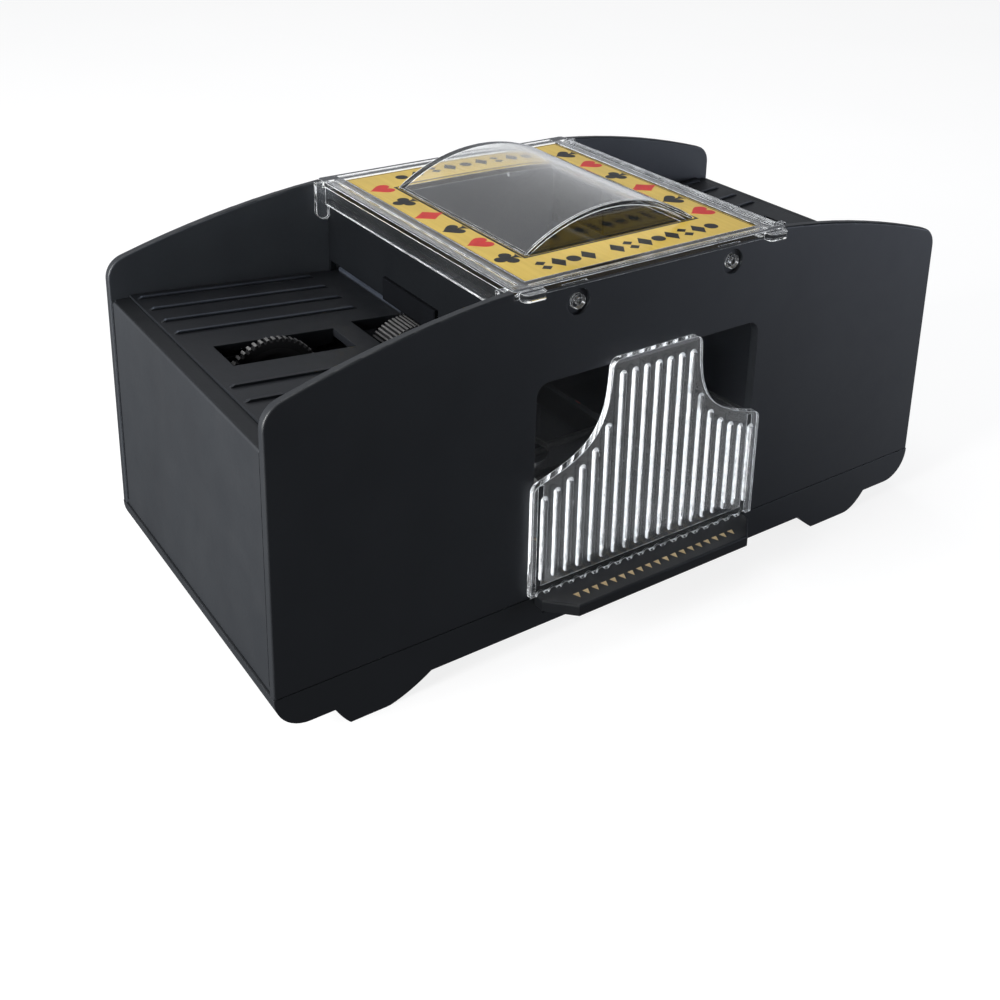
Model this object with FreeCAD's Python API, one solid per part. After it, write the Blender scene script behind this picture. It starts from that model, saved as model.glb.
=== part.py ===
import FreeCAD, Part
import math
import os

Vec = FreeCAD.Vector

# Automatic card shuffler. Millimetres, +Z up, X along the length, drawer side (front) at -Y.
# It is drawn with the origin under the middle of the housing, on the surface the feet rest on,
# and moved by SHIFT_Y when exported. What exists once per end is drawn at the left (-X) end;
# its right-hand twin is that shape turned half a turn about Z. Cutting tools overshoot the
# faces they pass through by a millimetre or so.

# ---------------------------------------------------------------- driving dimensions
LENGTH = 205.0           # overall length of the housing
DEPTH = 96.0             # overall depth of the housing
WALL = 2.4               # wall thickness of the mouldings
HALF_L = LENGTH / 2
FACE_Y = DEPTH / 2       # outer face of the rear wall; the front wall is at -FACE_Y
INNER_Y = FACE_Y - WALL  # its inner face
Z_FLOOR = 5.0            # underside of the base floor
FLOOR_TOP = Z_FLOOR + WALL
Z_PART = 14.0            # parting line between base tray and housing
RIM_GAP = 0.25           # gap at the parting line
Z_END = 73.0             # top of the low end walls
COVER_X = 42.0           # half length of the clear cover
COVER_Y = 48.0           # half depth of the clear cover
COVER_Z = 93.6           # underside of the cover plate
LUG_Y = 50.5             # how far forward the cover's corner lugs reach
LEDGE_Y = -58.0          # front of the press bar ledge
PIVOT_Y = 8.0            # pivot line of the press bar
PIVOT_Z = 13.0
PEG_X, PEG_Z = 24.0, 89.5              # snap pegs that hold the cover in the walls
POST_X, POST_Y = 90.5, 41.6            # housing screw posts
DECK_POST_X, DECK_POST_Y = 43.0, 40.5  # deck screw posts
POST_R = 3.2
PILOT_R = 1.2            # screw hole in a post
PILOT_TOP = 22.0
SHAFT_R = 1.5
RUN = 0.05               # running clearance of a shaft in its bearing, on the radius
FEED = (-77.5, 60.0)     # feed wheel axis (X, Z)
THROW = (-42.3, 60.9)    # throw wheel axis (X, Z)
SHIFT_Y = (-LEDGE_Y - LUG_Y) / 2.0

DECK_X0 = -97.4          # outer end of the left tray deck
DECK_Z0 = 73.7           # deck height at its outer end
DECK_X1 = -36.5          # inner end of the deck, at the card well
DECK_SLOPE = math.tan(math.radians(5.0))
DECK_T = 2.0

SIGNS = (-1, 1)
CORNERS = [(end, side) for end in SIGNS for side in SIGNS]   # signs of X and Y


# ---------------------------------------------------------------- helpers
def box(x0, x1, y0, y1, z0, z1):
    """Box between two X, two Y and two Z values; X and Y pairs may be in either order."""
    x0, x1 = sorted((x0, x1))
    y0, y1 = sorted((y0, y1))
    return Part.makeBox(x1 - x0, y1 - y0, z1 - z0, Vec(x0, y0, z0))


def cyl(axis, centre, radius, start, end):
    """Cylinder along x, y or z. centre holds the two other coordinates."""
    start, end = sorted((start, end))
    first, second = centre
    if axis == "x":
        base, direction = Vec(start, first, second), Vec(1, 0, 0)
    elif axis == "y":
        base, direction = Vec(first, start, second), Vec(0, 1, 0)
    else:
        base, direction = Vec(first, second, start), Vec(0, 0, 1)
    return Part.makeCylinder(radius, end - start, base, direction)


def ring_y(centre, outer_r, inner_r, y0, y1):
    """Flat ring about an axis along Y."""
    return cyl("y", centre, outer_r, y0, y1).cut(cyl("y", centre, inner_r, y0 - 1, y1 + 1))


def prism(corners, push):
    return Part.Face(Part.makePolygon(corners + corners[:1])).extrude(push)


def prism_xz(points, y0, y1):
    return prism([Vec(x, y0, z) for x, z in points], Vec(0, y1 - y0, 0))


def prism_xy(points, z0, z1):
    return prism([Vec(x, y, z0) for x, y in points], Vec(0, 0, z1 - z0))


def prism_yz(points, x0, x1):
    return prism([Vec(x0, y, z) for y, z in points], Vec(x1 - x0, 0, 0))


def fuse(first, *others):
    return first.multiFuse(list(others)).removeSplitter()


def ends(edge):
    return edge.Vertexes[0].Point, edge.Vertexes[-1].Point


def fillet(solid, radius, chosen):
    """Rounds the edges for which chosen(edge) is true."""
    edges = [edge for edge in solid.Edges if chosen(edge)]
    if not edges:
        return solid
    try:
        return solid.makeFillet(radius, edges)
    except Exception:
        # guards against edges the kernel cannot round: they stay sharp
        return solid


def along_y(edge):
    a, b = ends(edge)
    return abs(a.x - b.x) < 1e-6 and abs(a.z - b.z) < 1e-6 and abs(a.y - b.y) > 1e-6


def along_z(edge):
    a, b = ends(edge)
    return abs(a.x - b.x) < 1e-6 and abs(a.y - b.y) < 1e-6 and abs(a.z - b.z) > 1e-6


def turned(shape):
    """Copy turned half a turn about Z: the right-hand twin of a left-hand shape."""
    copy = shape.copy()
    copy.rotate(Vec(0, 0, 0), Vec(0, 0, 1), 180)
    return copy


def group(*shapes):
    return Part.makeCompound([solid for shape in shapes for solid in shape.Solids])


def deck_z(x):
    """Height of the left deck's top face."""
    return DECK_Z0 - (x - DECK_X0) * DECK_SLOPE


NODES = {}


def add(name, shape):
    NODES[name] = shape


def add_both(name, shape):
    """Adds left_NAME and right_NAME."""
    NODES["left_" + name] = shape
    NODES["right_" + name] = turned(shape)


# ---------------------------------------------------------------- main housing
Z_TOP = 95.3             # top of the front and rear walls beside the cover
ARC_MID = (72.0, 91.0)   # a point on the falling curve of the wall tops, X and Z
ARC_END_Z = 82.9         # its height at the end of the housing, before the corner is rounded
CORNER_R = 6.0           # upper corner radius of the front and rear walls
TOP_EDGE_R = 0.5
END_X = HALF_L - 0.5     # outer face of the end walls
END_EDGE_R = 0.7
LIP_H = 2.0              # lip along the inside of the end wall tops
OPEN_X = 35.1            # half width of the front opening
OPEN_Z = 71.1            # top of the front opening
OPEN_R = 3.5
POST_TOP = 58.0
PEG_HOLE_R = 1.95
PEG_SINK_R = 3.3
PEG_SINK_DEPTH = 0.9


def wall_panel(y0, y1):
    """Front or rear wall: notched for the cover, then falling in a long curve to each end."""
    def point(x, z):
        return Vec(x, y0, z)

    def line(start, end):
        return Part.makeLine(point(*start), point(*end))

    mid_x, mid_z = ARC_MID
    right_arc = Part.Arc(point(COVER_X, Z_TOP), point(mid_x, mid_z), point(HALF_L, ARC_END_Z))
    left_arc = Part.Arc(point(-HALF_L, ARC_END_Z), point(-mid_x, mid_z), point(-COVER_X, Z_TOP))
    outline = Part.Wire([
        line((-HALF_L, Z_PART), (-HALF_L, ARC_END_Z)),
        left_arc.toShape(),
        line((-COVER_X, Z_TOP), (-COVER_X, COVER_Z)),
        line((-COVER_X, COVER_Z), (COVER_X, COVER_Z)),
        line((COVER_X, COVER_Z), (COVER_X, Z_TOP)),
        right_arc.toShape(),
        line((HALF_L, ARC_END_Z), (HALF_L, Z_PART)),
        line((HALF_L, Z_PART), (-HALF_L, Z_PART)),
    ])
    panel = Part.Face(outline).extrude(Vec(0, y1 - y0, 0))

    def upper_corner(edge):
        start = ends(edge)[0]
        return along_y(edge) and abs(abs(start.x) - HALF_L) < 1e-3 and start.z > Z_PART + 5

    def top_edge(edge):
        """Lengthwise edges of the wall top, but not those of the cover notch."""
        a, b = ends(edge)
        if abs(a.y - b.y) > 1e-6 or min(a.z, b.z) < 74:
            return False
        in_notch = abs(a.z - COVER_Z) < 1e-6 and abs(b.z - COVER_Z) < 1e-6
        return abs(a.x - b.x) > 1.0 and not in_notch

    panel = fillet(panel, CORNER_R, upper_corner)
    return fillet(panel, TOP_EDGE_R, top_edge)


def end_wall(end):
    """Low end wall with a lip reaching in to the deck."""
    outer = end * END_X
    panel = box(outer, end * (END_X - WALL), -INNER_Y - 0.5, INNER_Y + 0.5, Z_PART, Z_END)
    lip = box(outer, end * (abs(DECK_X0) + 0.1), -INNER_Y - 0.2, INNER_Y + 0.2,
              Z_END - LIP_H, Z_END)
    return fuse(panel, lip)


def end_wall_top(edge):
    """Outer top edge of an end wall."""
    a, b = ends(edge)
    on_edge = all(abs(abs(p.x) - END_X) < 1e-4 and abs(p.z - Z_END) < 1e-4 for p in (a, b))
    return on_edge and abs(a.y - b.y) > 20


def make_housing():
    body = fuse(wall_panel(-FACE_Y, -INNER_Y), wall_panel(INNER_Y, FACE_Y),
                end_wall(-1), end_wall(1))
    # upright groove where each end wall meets the front and rear walls
    for end, side in CORNERS:
        body = body.cut(box(end * (END_X + 0.01), end * (END_X - 0.9),
                            side * (INNER_Y - 0.1), side * (INNER_Y - 1.0),
                            Z_PART + 1.2, Z_END + 0.99))
    body = fillet(body, END_EDGE_R, end_wall_top)

    # front opening, open at the parting line
    opening = box(-OPEN_X, OPEN_X, -FACE_Y - 1, -INNER_Y + 1, Z_PART - 1, OPEN_Z)
    opening = fillet(opening, OPEN_R, lambda edge: along_y(edge)
                     and ends(edge)[0].z > OPEN_Z - 0.1)
    body = body.cut(opening)

    # ledges that carry the outer ends of the decks
    outer_x = DECK_X0 - 2.4
    inner_x = DECK_X0 + 2.0
    under_outer = deck_z(DECK_X0) - DECK_T
    under_inner = deck_z(inner_x) - DECK_T
    ledge = prism_xz([(outer_x, under_outer - 2.6), (inner_x, under_inner - 2.0),
                      (inner_x, under_inner), (DECK_X0, under_outer),
                      (outer_x, under_outer)], -30, 30)
    body = body.fuse(ledge)
    body = body.fuse(turned(ledge))

    # screw posts in the corners, each webbed to its wall
    for end, side in CORNERS:
        x, y = end * POST_X, side * POST_Y
        post = cyl("z", (x, y), POST_R, FLOOR_TOP, POST_TOP)
        web = box(x - 0.8, x + 0.8, side * (INNER_Y + 0.2), side * 43.0, Z_PART + 1, POST_TOP)
        body = body.fuse(post.fuse(web))
        body = body.cut(cyl("z", (x, y), PILOT_R, FLOOR_TOP - 1, PILOT_TOP))

    # counterbored holes for the cover's pegs
    for end, side in CORNERS:
        centre = (end * PEG_X, PEG_Z)
        outside = side * (FACE_Y + 1)
        body = body.cut(cyl("y", centre, PEG_HOLE_R, side * (INNER_Y - 1), outside))
        body = body.cut(cyl("y", centre, PEG_SINK_R, side * (FACE_Y - PEG_SINK_DEPTH), outside))
    return body.removeSplitter()


add("main_housing", make_housing())


# ---------------------------------------------------------------- base tray
BASE_R = 8.5                      # lower end corner radius
FOOT_DEPTH = 12.0
BAY = (-96.6, -63.4, -30.0, 30.0)     # left battery bay: X range, Y range
BAY_TOP = 23.4
BAY_WALL = 1.3
RAIL_X = (31.4, 33.4)             # inner and outer face of a drawer rail
RAIL_BACK = 45.0
RAIL_Z = 15.35
BAR_NOTCH_X = 31.3                # half width of the press bar notch
BAR_NOTCH_Z = 8.2
SPRING_XY = (0, -38.0)
SPRING_PIN_R = 2.2
CONTACT_Z = 8.9                   # underside of the fixed switch contact's blade
SCREW_HOLE_R = 1.5
SCREW_SINK_R = 2.8
SCREW_SINK_Z = Z_FLOOR + 1.4      # top of the screw counterbores
SCREWS = [(end * x, side * y) for x, y in ((POST_X, POST_Y), (DECK_POST_X, DECK_POST_Y))
          for end, side in CORNERS]


def sagging_points(start, end, sag, steps):
    """Points of a shallow curve from start to end, hanging below the chord by sag."""
    points = []
    for i in range(steps + 1):
        t = i / steps
        points.append((start[0] + (end[0] - start[0]) * t,
                       start[1] + (end[1] - start[1]) * t - sag * 4 * t * (1 - t)))
    return points


def front_feet():
    """The two feet on the front side, flush with the front face."""
    root = Z_FLOOR + 0.5
    left = [(-88.0, root), (-88.0, Z_FLOOR)]
    left += sagging_points((-87.6, 4.4), (-84.2, 0.0), sag=0.3, steps=4)
    left += [(-83.0, 0.0), (-75.0, 0.0)]
    left += sagging_points((-74.0, 0.05), (-63.0, Z_FLOOR), sag=0.55, steps=8)
    left += [(-63.0, root)]
    right = [(58.0, root), (58.0, Z_FLOOR)]
    right += sagging_points((58.2, 4.8), (63.6, 0.05), sag=0.2, steps=4)
    right += [(65.0, 0.0), (76.0, 0.0)]
    right += sagging_points((77.0, 0.0), (85.0, Z_FLOOR), sag=1.2, steps=8)
    right += [(85.0, root)]
    return [prism_xz(points, -FACE_Y, -FACE_Y + FOOT_DEPTH) for points in (left, right)]


def battery_bay():
    """Hood over the left battery bay, the hollow inside it and a slot in its roof."""
    x0, x1, y0, y1 = BAY
    wall = BAY_WALL
    hood = box(x0, x1, y0, y1, Z_FLOOR, BAY_TOP)
    hollow = box(x0 + wall, x1 - wall, y0 + wall, y1 - wall, Z_FLOOR - 1, BAY_TOP - wall)
    slot = box(x0 + 5, x0 + 9, -28.6, -27.0, 22.0, 24.0)
    return hood, hollow, slot


def base_shell():
    outer = box(-HALF_L, HALF_L, -FACE_Y, FACE_Y, Z_FLOOR, Z_PART - RIM_GAP)
    outer = fillet(outer, BASE_R, lambda edge: along_y(edge)
                   and ends(edge)[0].z < Z_FLOOR + 0.1)
    inner = box(-HALF_L + WALL, HALF_L - WALL, -INNER_Y, INNER_Y, FLOOR_TOP, Z_PART + 1)
    inner = fillet(inner, BASE_R - WALL, lambda edge: along_y(edge)
                   and ends(edge)[0].z < FLOOR_TOP + 0.1)
    return outer.cut(inner)


def make_base():
    feet = front_feet()
    base = fuse(base_shell(), *feet, *[turned(foot) for foot in feet])

    # battery bays, one at each end, open below
    bay = battery_bay()
    for hood, hollow, slot in (bay, [turned(part) for part in bay]):
        base = base.fuse(hood).cut(hollow).cut(slot)

    # drawer rails, which also hold the press bar pivot in open-topped snap bearings
    for side in SIGNS:
        x0, x1 = sorted(side * x for x in RAIL_X)
        rail = box(x0, x1, -FACE_Y + 0.6, RAIL_BACK, FLOOR_TOP - 0.5, RAIL_Z)
        rail = rail.cut(box(x0 - 1, x1 + 1, -FACE_Y - 1, -INNER_Y + 0.3,
                            Z_PART - RIM_GAP, RAIL_Z + 1))
        base = base.fuse(rail)
        base = base.cut(cyl("x", (PIVOT_Y, PIVOT_Z), SHAFT_R + RUN, x0 - 0.5, x1 + 0.5))
        base = base.cut(box(x0 - 0.5, x1 + 0.5, PIVOT_Y - 1.3, PIVOT_Y + 1.3,
                            PIVOT_Z + 0.6, RAIL_Z + 1))

    # notch in the front wall for the press bar
    base = base.cut(box(-BAR_NOTCH_X, BAR_NOTCH_X, -FACE_Y - 1, -INNER_Y + 0.1,
                        BAR_NOTCH_Z, Z_PART + 1))
    # pin inside the spring, block under the fixed switch contact
    base = base.fuse(cyl("z", SPRING_XY, SPRING_PIN_R, FLOOR_TOP - 0.5, FLOOR_TOP + 1.4))
    base = base.fuse(box(-16.0, -10.0, -24.0, -18.0, FLOOR_TOP - 0.5, CONTACT_Z))

    for place in SCREWS:
        base = base.cut(cyl("z", place, SCREW_HOLE_R, Z_FLOOR - 1, FLOOR_TOP + 1))
        base = base.cut(cyl("z", place, SCREW_SINK_R, Z_FLOOR - 1, SCREW_SINK_Z))
    return base.removeSplitter()


add("base_tray", make_base())


def base_screw(x, y):
    """Cross-slotted screw, driven from below."""
    head = cyl("z", (x, y), 2.5, Z_FLOOR + 0.1, SCREW_SINK_Z)
    for degrees in (20, 110):
        slot = box(x - 1.5, x + 1.5, y - 0.3, y + 0.3, Z_FLOOR - 0.5, Z_FLOOR + 0.7)
        slot.rotate(Vec(x, y, 0), Vec(0, 0, 1), degrees)
        head = head.cut(slot)
    return head.fuse(cyl("z", (x, y), 1.15, Z_FLOOR + 1.3, Z_FLOOR + 11.0)).removeSplitter()


add("base_screws", group(*[base_screw(x, y) for x, y in SCREWS]))


# ---------------------------------------------------------------- tray deck
DECK_Y = INNER_Y - 0.15       # half depth of the deck
CARD_RIB_Y = (16.7, 25.0, 33.4, 41.8)
CARD_RIB_HALF = 0.45          # half width of a card rib
CARD_RIB_H = 0.6
CARD_RIB_END = -47.0          # inner end of the card ribs
WELL_X = DECK_X1 - 1.8        # outer face of the well wall
SILL_Z = (69.4, 70.0)         # edges and crest of the sill
BOSS_X = (-91.5, -57.0)       # bosses that the gearbox plates hang from
INNER_BOSS_Y, OUTER_BOSS_Y, BRACKET_BOSS_Y = 10.4, 32.0, -18.0
BOSSES = [(x, y) for y in (INNER_BOSS_Y, OUTER_BOSS_Y, BRACKET_BOSS_Y) for x in BOSS_X]
BOSS_R = 2.4
BOSS_HOLE_R = 0.9
BOSS_HOLE_TOP = dict(zip(BOSS_X, (67.6, 66.2)))
THROW_SLOT_Y = 8.6            # half width of the openings for the throw wheel
# Windows over the feed and throw wheels: outer X, inner X, half width, inner X of the frame
WINDOWS = [(-90.8, -59.2, 6.1, -59.2), (-52.9, -38.4, THROW_SLOT_Y, -38.3)]
FRAME_T = 0.9                 # thickness of the window frames
FRAME_Z = 66.4                # underside of the window frames


def card_rib_outline():
    """Low rib on the deck top, chamfered at both ends and sunk a little into the deck."""
    # X, height above the deck
    stations = [(DECK_X0 + 1.0, -0.3), (CARD_RIB_END, -0.3), (CARD_RIB_END, 0.05),
                (CARD_RIB_END - 1.2, CARD_RIB_H), (DECK_X0 + 2.2, CARD_RIB_H),
                (DECK_X0 + 1.0, 0.05)]
    return [(x, deck_z(x) + rise) for x, rise in stations]


def make_deck():
    deck = prism_xz([(DECK_X0, deck_z(DECK_X0)), (DECK_X1, deck_z(DECK_X1)),
                     (DECK_X1, deck_z(DECK_X1) - DECK_T),
                     (DECK_X0, deck_z(DECK_X0) - DECK_T)], -DECK_Y, DECK_Y)
    for y in CARD_RIB_Y:
        for side in SIGNS:
            deck = deck.fuse(prism_xz(card_rib_outline(), side * y - CARD_RIB_HALF,
                                      side * y + CARD_RIB_HALF))

    # well wall at the inner end, down to the base, with a low sill under the card slit
    deck = deck.fuse(box(WELL_X, DECK_X1, -DECK_Y, DECK_Y, Z_PART + 0.6,
                         deck_z(DECK_X1) - 0.5))
    sill_side, sill_crest = SILL_Z
    sill = [(WELL_X, deck_z(WELL_X) - 0.5), (DECK_X1, deck_z(DECK_X1) - 0.5),
            (DECK_X1, sill_side), (DECK_X1 - 0.9, sill_crest), (WELL_X, sill_side)]
    deck = deck.fuse(prism_xz(sill, -43.5, 43.5))

    # screw posts down to the base, webbed to the well wall
    for side in SIGNS:
        x, y = -DECK_POST_X, side * DECK_POST_Y
        deck = deck.fuse(cyl("z", (x, y), POST_R, FLOOR_TOP, deck_z(x) - DECK_T / 2))
        deck = deck.fuse(box(x, DECK_X1 - 0.9, y - 0.8, y + 0.8, Z_PART + 0.6,
                             deck_z(-40) - DECK_T / 2))
        deck = deck.cut(cyl("z", (x, y), PILOT_R, FLOOR_TOP - 1, PILOT_TOP))

    for x, y in BOSSES:
        deck = deck.fuse(cyl("z", (x, y), BOSS_R, 64.0, deck_z(x) - DECK_T / 2))
        deck = deck.cut(cyl("z", (x, y), BOSS_HOLE_R, 63.0, BOSS_HOLE_TOP[x]))

    for outer_x, inner_x, half_y, _ in WINDOWS:
        deck = deck.cut(box(outer_x, inner_x, -half_y, half_y, 60.0, 80.0))
    # slot where the throw wheel reaches through the well wall
    deck = deck.cut(box(WELL_X - 0.7, DECK_X1 + 1, -THROW_SLOT_Y, THROW_SLOT_Y, 47.5, 72.0))
    # shallow pocket in the well wall, clear of the throw gear
    deck = deck.cut(box(WELL_X - 0.7, DECK_X1 - 0.7, 16.4, 26.8, 55.2, 66.6))
    # frame walls along each window, below the deck
    for outer_x, _, half_y, frame_x in WINDOWS:
        for side in SIGNS:
            deck = deck.fuse(box(outer_x, frame_x, side * half_y, side * (half_y + FRAME_T),
                                 FRAME_Z, deck_z(frame_x) - DECK_T / 2))
    return deck.removeSplitter()


add_both("tray_deck", make_deck())


# ---------------------------------------------------------------- card gate and its rubber pad
GATE_X = (-40.2, -38.4)       # outer and inner face of the left gate
GATE_Z = (71.9, 89.6)
PAD_X = -41.4                 # outer face of the left pad


def make_gate():
    outer_x, inner_x = GATE_X
    gate = box(outer_x, inner_x, -INNER_Y, INNER_Y, *GATE_Z)
    # legs at the two sides, down to the deck
    for side in SIGNS:
        gate = gate.fuse(box(outer_x, inner_x, side * INNER_Y, side * (INNER_Y - 0.9),
                             deck_z(outer_x) + 0.01, 72.5))
    # two upright ribs on the well side
    for y in (-22.0, 22.0):
        gate = gate.fuse(box(inner_x - 0.1, inner_x + 1.0, y - 0.6, y + 0.6, 72.2, 88.6))
    return gate.removeSplitter()


def make_pad():
    pad = box(PAD_X, GATE_X[0], -13.0, 13.0, 71.75, 78.0)
    return fillet(pad, 0.5, lambda edge: all(p.x < PAD_X + 0.1 for p in ends(edge)))


add_both("card_gate", make_gate())
pad = make_pad()
add("gate_pads", group(pad, turned(pad)))


# ---------------------------------------------------------------- clear cover and its label
PLATE_Z = 94.8           # recessed top face of the cover plate, where the label lies
RIM_Z = 95.5             # top of the rim around the label
LABEL_X = 36.07          # half length of the label
LABEL_Y = 43.4           # half depth of the label
LABEL_T = 0.3
VAULT_X = 26.3           # half width of the viewing vault
VAULT_Y = 30.0           # half length of the viewing vault
VAULT_TOP = 104.0        # apex of the vault
VAULT_R = 44.7           # outer radius of the vault
VAULT_T = 1.5
CHANNEL_Z = RIM_Z - 0.4  # floor of the channel in the rim
SKIRT_X = (40.5, 41.6)   # inner and outer face of an end skirt
SKIRT_Z = 88.9
LEG_Y = (44.0, 45.4)     # inner and outer face of a snap leg
TONGUE_Y = 43.9          # inner face of a tongue
TONGUE_X = 44.3          # outer end of a tongue
TONGUE_Z = 84.8
PEG_R = 1.85


def vault_block(inset, z0):
    """Vault as a solid block from z0 up, drawn in by inset on every curved and upright face."""
    x, y = VAULT_X - inset, VAULT_Y - inset
    barrel = cyl("y", (0, VAULT_TOP - VAULT_R), VAULT_R - inset, -y, y)
    return barrel.common(box(-x, x, -y, y, z0, VAULT_TOP + 1))


def cover_lug(end):
    """Lug over the front face, near a corner."""
    x0, x1 = sorted((end * 34.4, end * 40.6))
    lug = box(x0, x1, -LUG_Y, -COVER_Y + 0.8, COVER_Z - 0.2, RIM_Z - 0.3)
    lug = lug.cut(box(x0 - 1, x1 + 1, -FACE_Y, -FACE_Y + 5, COVER_Z - 1, COVER_Z))
    return fillet(lug, 1.4, lambda edge: along_z(edge)
                  and abs(ends(edge)[0].y + LUG_Y) < 0.01)


def cover_tongue(end, side):
    """Tongue against the front or rear wall, rounded at its two lower corners."""
    tongue = box(end * SKIRT_X[0], end * TONGUE_X, side * TONGUE_Y, side * LEG_Y[1],
                 TONGUE_Z, RIM_Z - 0.2)
    for corner_x, radius in ((TONGUE_X, 2.4), (SKIRT_X[0], 1.1)):
        tongue = fillet(tongue, radius, lambda edge: along_y(edge)
                        and abs(ends(edge)[0].z - TONGUE_Z) < 1e-6
                        and abs(abs(ends(edge)[0].x) - corner_x) < 0.01)
    return tongue


def cover_leg(end, side):
    """Snap leg with a hollow-ended peg that fits a wall hole."""
    x = end * PEG_X
    leg = box(x - 3.5, x + 3.5, side * LEG_Y[0], side * LEG_Y[1], 86.8, COVER_Z + 0.5)
    peg = cyl("y", (x, PEG_Z), PEG_R, side * 45.0, side * 48.1)
    peg = peg.cut(cyl("y", (x, PEG_Z), 0.9, side * 46.9, side * 49.0))
    return leg.fuse(peg)


def make_cover():
    cover = box(-COVER_X, COVER_X, -COVER_Y, COVER_Y, COVER_Z, RIM_Z)
    cover = fillet(cover, 1.2, along_z)
    recess_x, recess_y = LABEL_X + 0.15, LABEL_Y + 0.15
    cover = cover.cut(box(-recess_x, recess_x, -recess_y, recess_y, PLATE_Z, RIM_Z + 1))
    # a shallow channel along the rim gives it a double edge
    for sign in SIGNS:
        cover = cover.cut(box(sign * 38.6, sign * 40.4, -44.5, 44.5, CHANNEL_Z, RIM_Z + 1))
        cover = cover.cut(box(-36.5, 36.5, sign * 45.4, sign * 46.9, CHANNEL_Z, RIM_Z + 1))
    cover = cover.fuse(vault_block(0, COVER_Z)).cut(vault_block(VAULT_T, COVER_Z - 1))
    for end in SIGNS:
        cover = cover.fuse(cover_lug(end))

    # skirts down the two ends, set in a little under the rim, with a tongue at each corner
    for end in SIGNS:
        inner_x, outer_x = SKIRT_X
        cover = cover.fuse(box(end * inner_x, end * outer_x, -LEG_Y[1], LEG_Y[1],
                               SKIRT_Z, COVER_Z + 0.5))
        cover = cover.cut(box(end * outer_x, end * 44.0, -TONGUE_Y, TONGUE_Y,
                              80.0, COVER_Z + 0.6))
        for side in SIGNS:
            cover = cover.fuse(cover_tongue(end, side))

    for end, side in CORNERS:
        cover = cover.fuse(cover_leg(end, side))
    return cover.removeSplitter()


def make_label():
    label = box(-LABEL_X, LABEL_X, -LABEL_Y, LABEL_Y, PLATE_Z, PLATE_Z + LABEL_T)
    hole_x, hole_y = VAULT_X + 0.3, VAULT_Y + 0.3
    return label.cut(box(-hole_x, hole_x, -hole_y, hole_y, PLATE_Z - 1, PLATE_Z + 1))


add("clear_cover", make_cover())
add("cover_label", make_label())


# ---------------------------------------------------------------- card drawer
PANEL_BACK = -FACE_Y - 0.2    # the panel stands just in front of the housing
PANEL_FRONT = PANEL_BACK - 1.7
PANEL_X = 36.3                # half width of the panel
PANEL_Z = (15.3, 72.8)        # bottom of the panel, top of its centre tab
# Hollow curve from the centre tab out to the shoulder: X, Z
SHOULDER = [(14.1, 70.2), (14.4, 66.0), (15.2, 61.0), (16.8, 56.8), (19.2, 53.3),
            (22.4, 50.7), (26.2, 48.7), (30.5, 47.1), (34.4, 45.9)]
RIB_COUNT = 19
RIB_PITCH = 3.7
RIB_R = 0.95
RIB_BOTTOM = 20.5
TAB_RIB_TOP = 68.6            # top of the ribs on the centre tab
# Top of the ribs beyond the tab: distance from the middle, Z
RIB_TOPS = [(13.0, 60.0), (14.8, 55.6), (18.5, 50.0), (22.2, 46.6), (25.9, 44.4),
            (29.6, 42.8), (33.3, 41.6), (37.0, 41.0)]
TRAY_X = 34.4                 # half width of the tray
TRAY_BACK = 43.8
TRAY_WALL = 1.5
TRAY_Z = RAIL_Z + 0.15
TRAY_FLOOR_T = 1.8
TRAY_BACK_TOP = 34.0


def drawer_panel():
    """Front panel: square shoulders, then hollow curves rising to the centre tab."""
    bottom, top = PANEL_Z

    def half(sign):
        def point(place):
            return Vec(sign * place[0], PANEL_FRONT, place[1])

        def line(start, end):
            return Part.makeLine(point(start), point(end))

        def arc(start, mid, end):
            return Part.Arc(point(start), point(mid), point(end)).toShape()

        shoulder = Part.BSplineCurve()
        shoulder.interpolate([point(place) for place in SHOULDER])
        return [line((0, top), (11.6, top)),
                arc((11.6, top), (13.4, 72.1), SHOULDER[0]),
                shoulder.toShape(),
                arc(SHOULDER[-1], (35.8, 45.1), (PANEL_X, 43.4)),
                line((PANEL_X, 43.4), (PANEL_X, bottom)),
                line((PANEL_X, bottom), (0, bottom))]

    outline = Part.Wire(Part.__sortEdges__(half(1) + half(-1)))
    return Part.Face(outline).extrude(Vec(0, PANEL_BACK - PANEL_FRONT, 0))


def rib_top(x):
    """Height of the top of the rib at x, following the outline."""
    reach = abs(x)
    if reach < RIB_TOPS[0][0]:
        return TAB_RIB_TOP
    for (near, near_z), (far, far_z) in zip(RIB_TOPS, RIB_TOPS[1:]):
        if reach <= far:
            return near_z + (far_z - near_z) * (reach - near) / (far - near)


def panel_rib(x):
    """Upright half-round rib with ball ends on the panel's front face."""
    top = rib_top(x)
    rib = cyl("z", (x, PANEL_FRONT), RIB_R, RIB_BOTTOM, top)
    for z in (top, RIB_BOTTOM):
        rib = rib.fuse(Part.makeSphere(RIB_R, Vec(x, PANEL_FRONT, z)))
    return rib.common(box(x - 2, x + 2, PANEL_BACK - 3.0, PANEL_BACK - 0.6,
                          RIB_BOTTOM - 2, top + 2))


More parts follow.
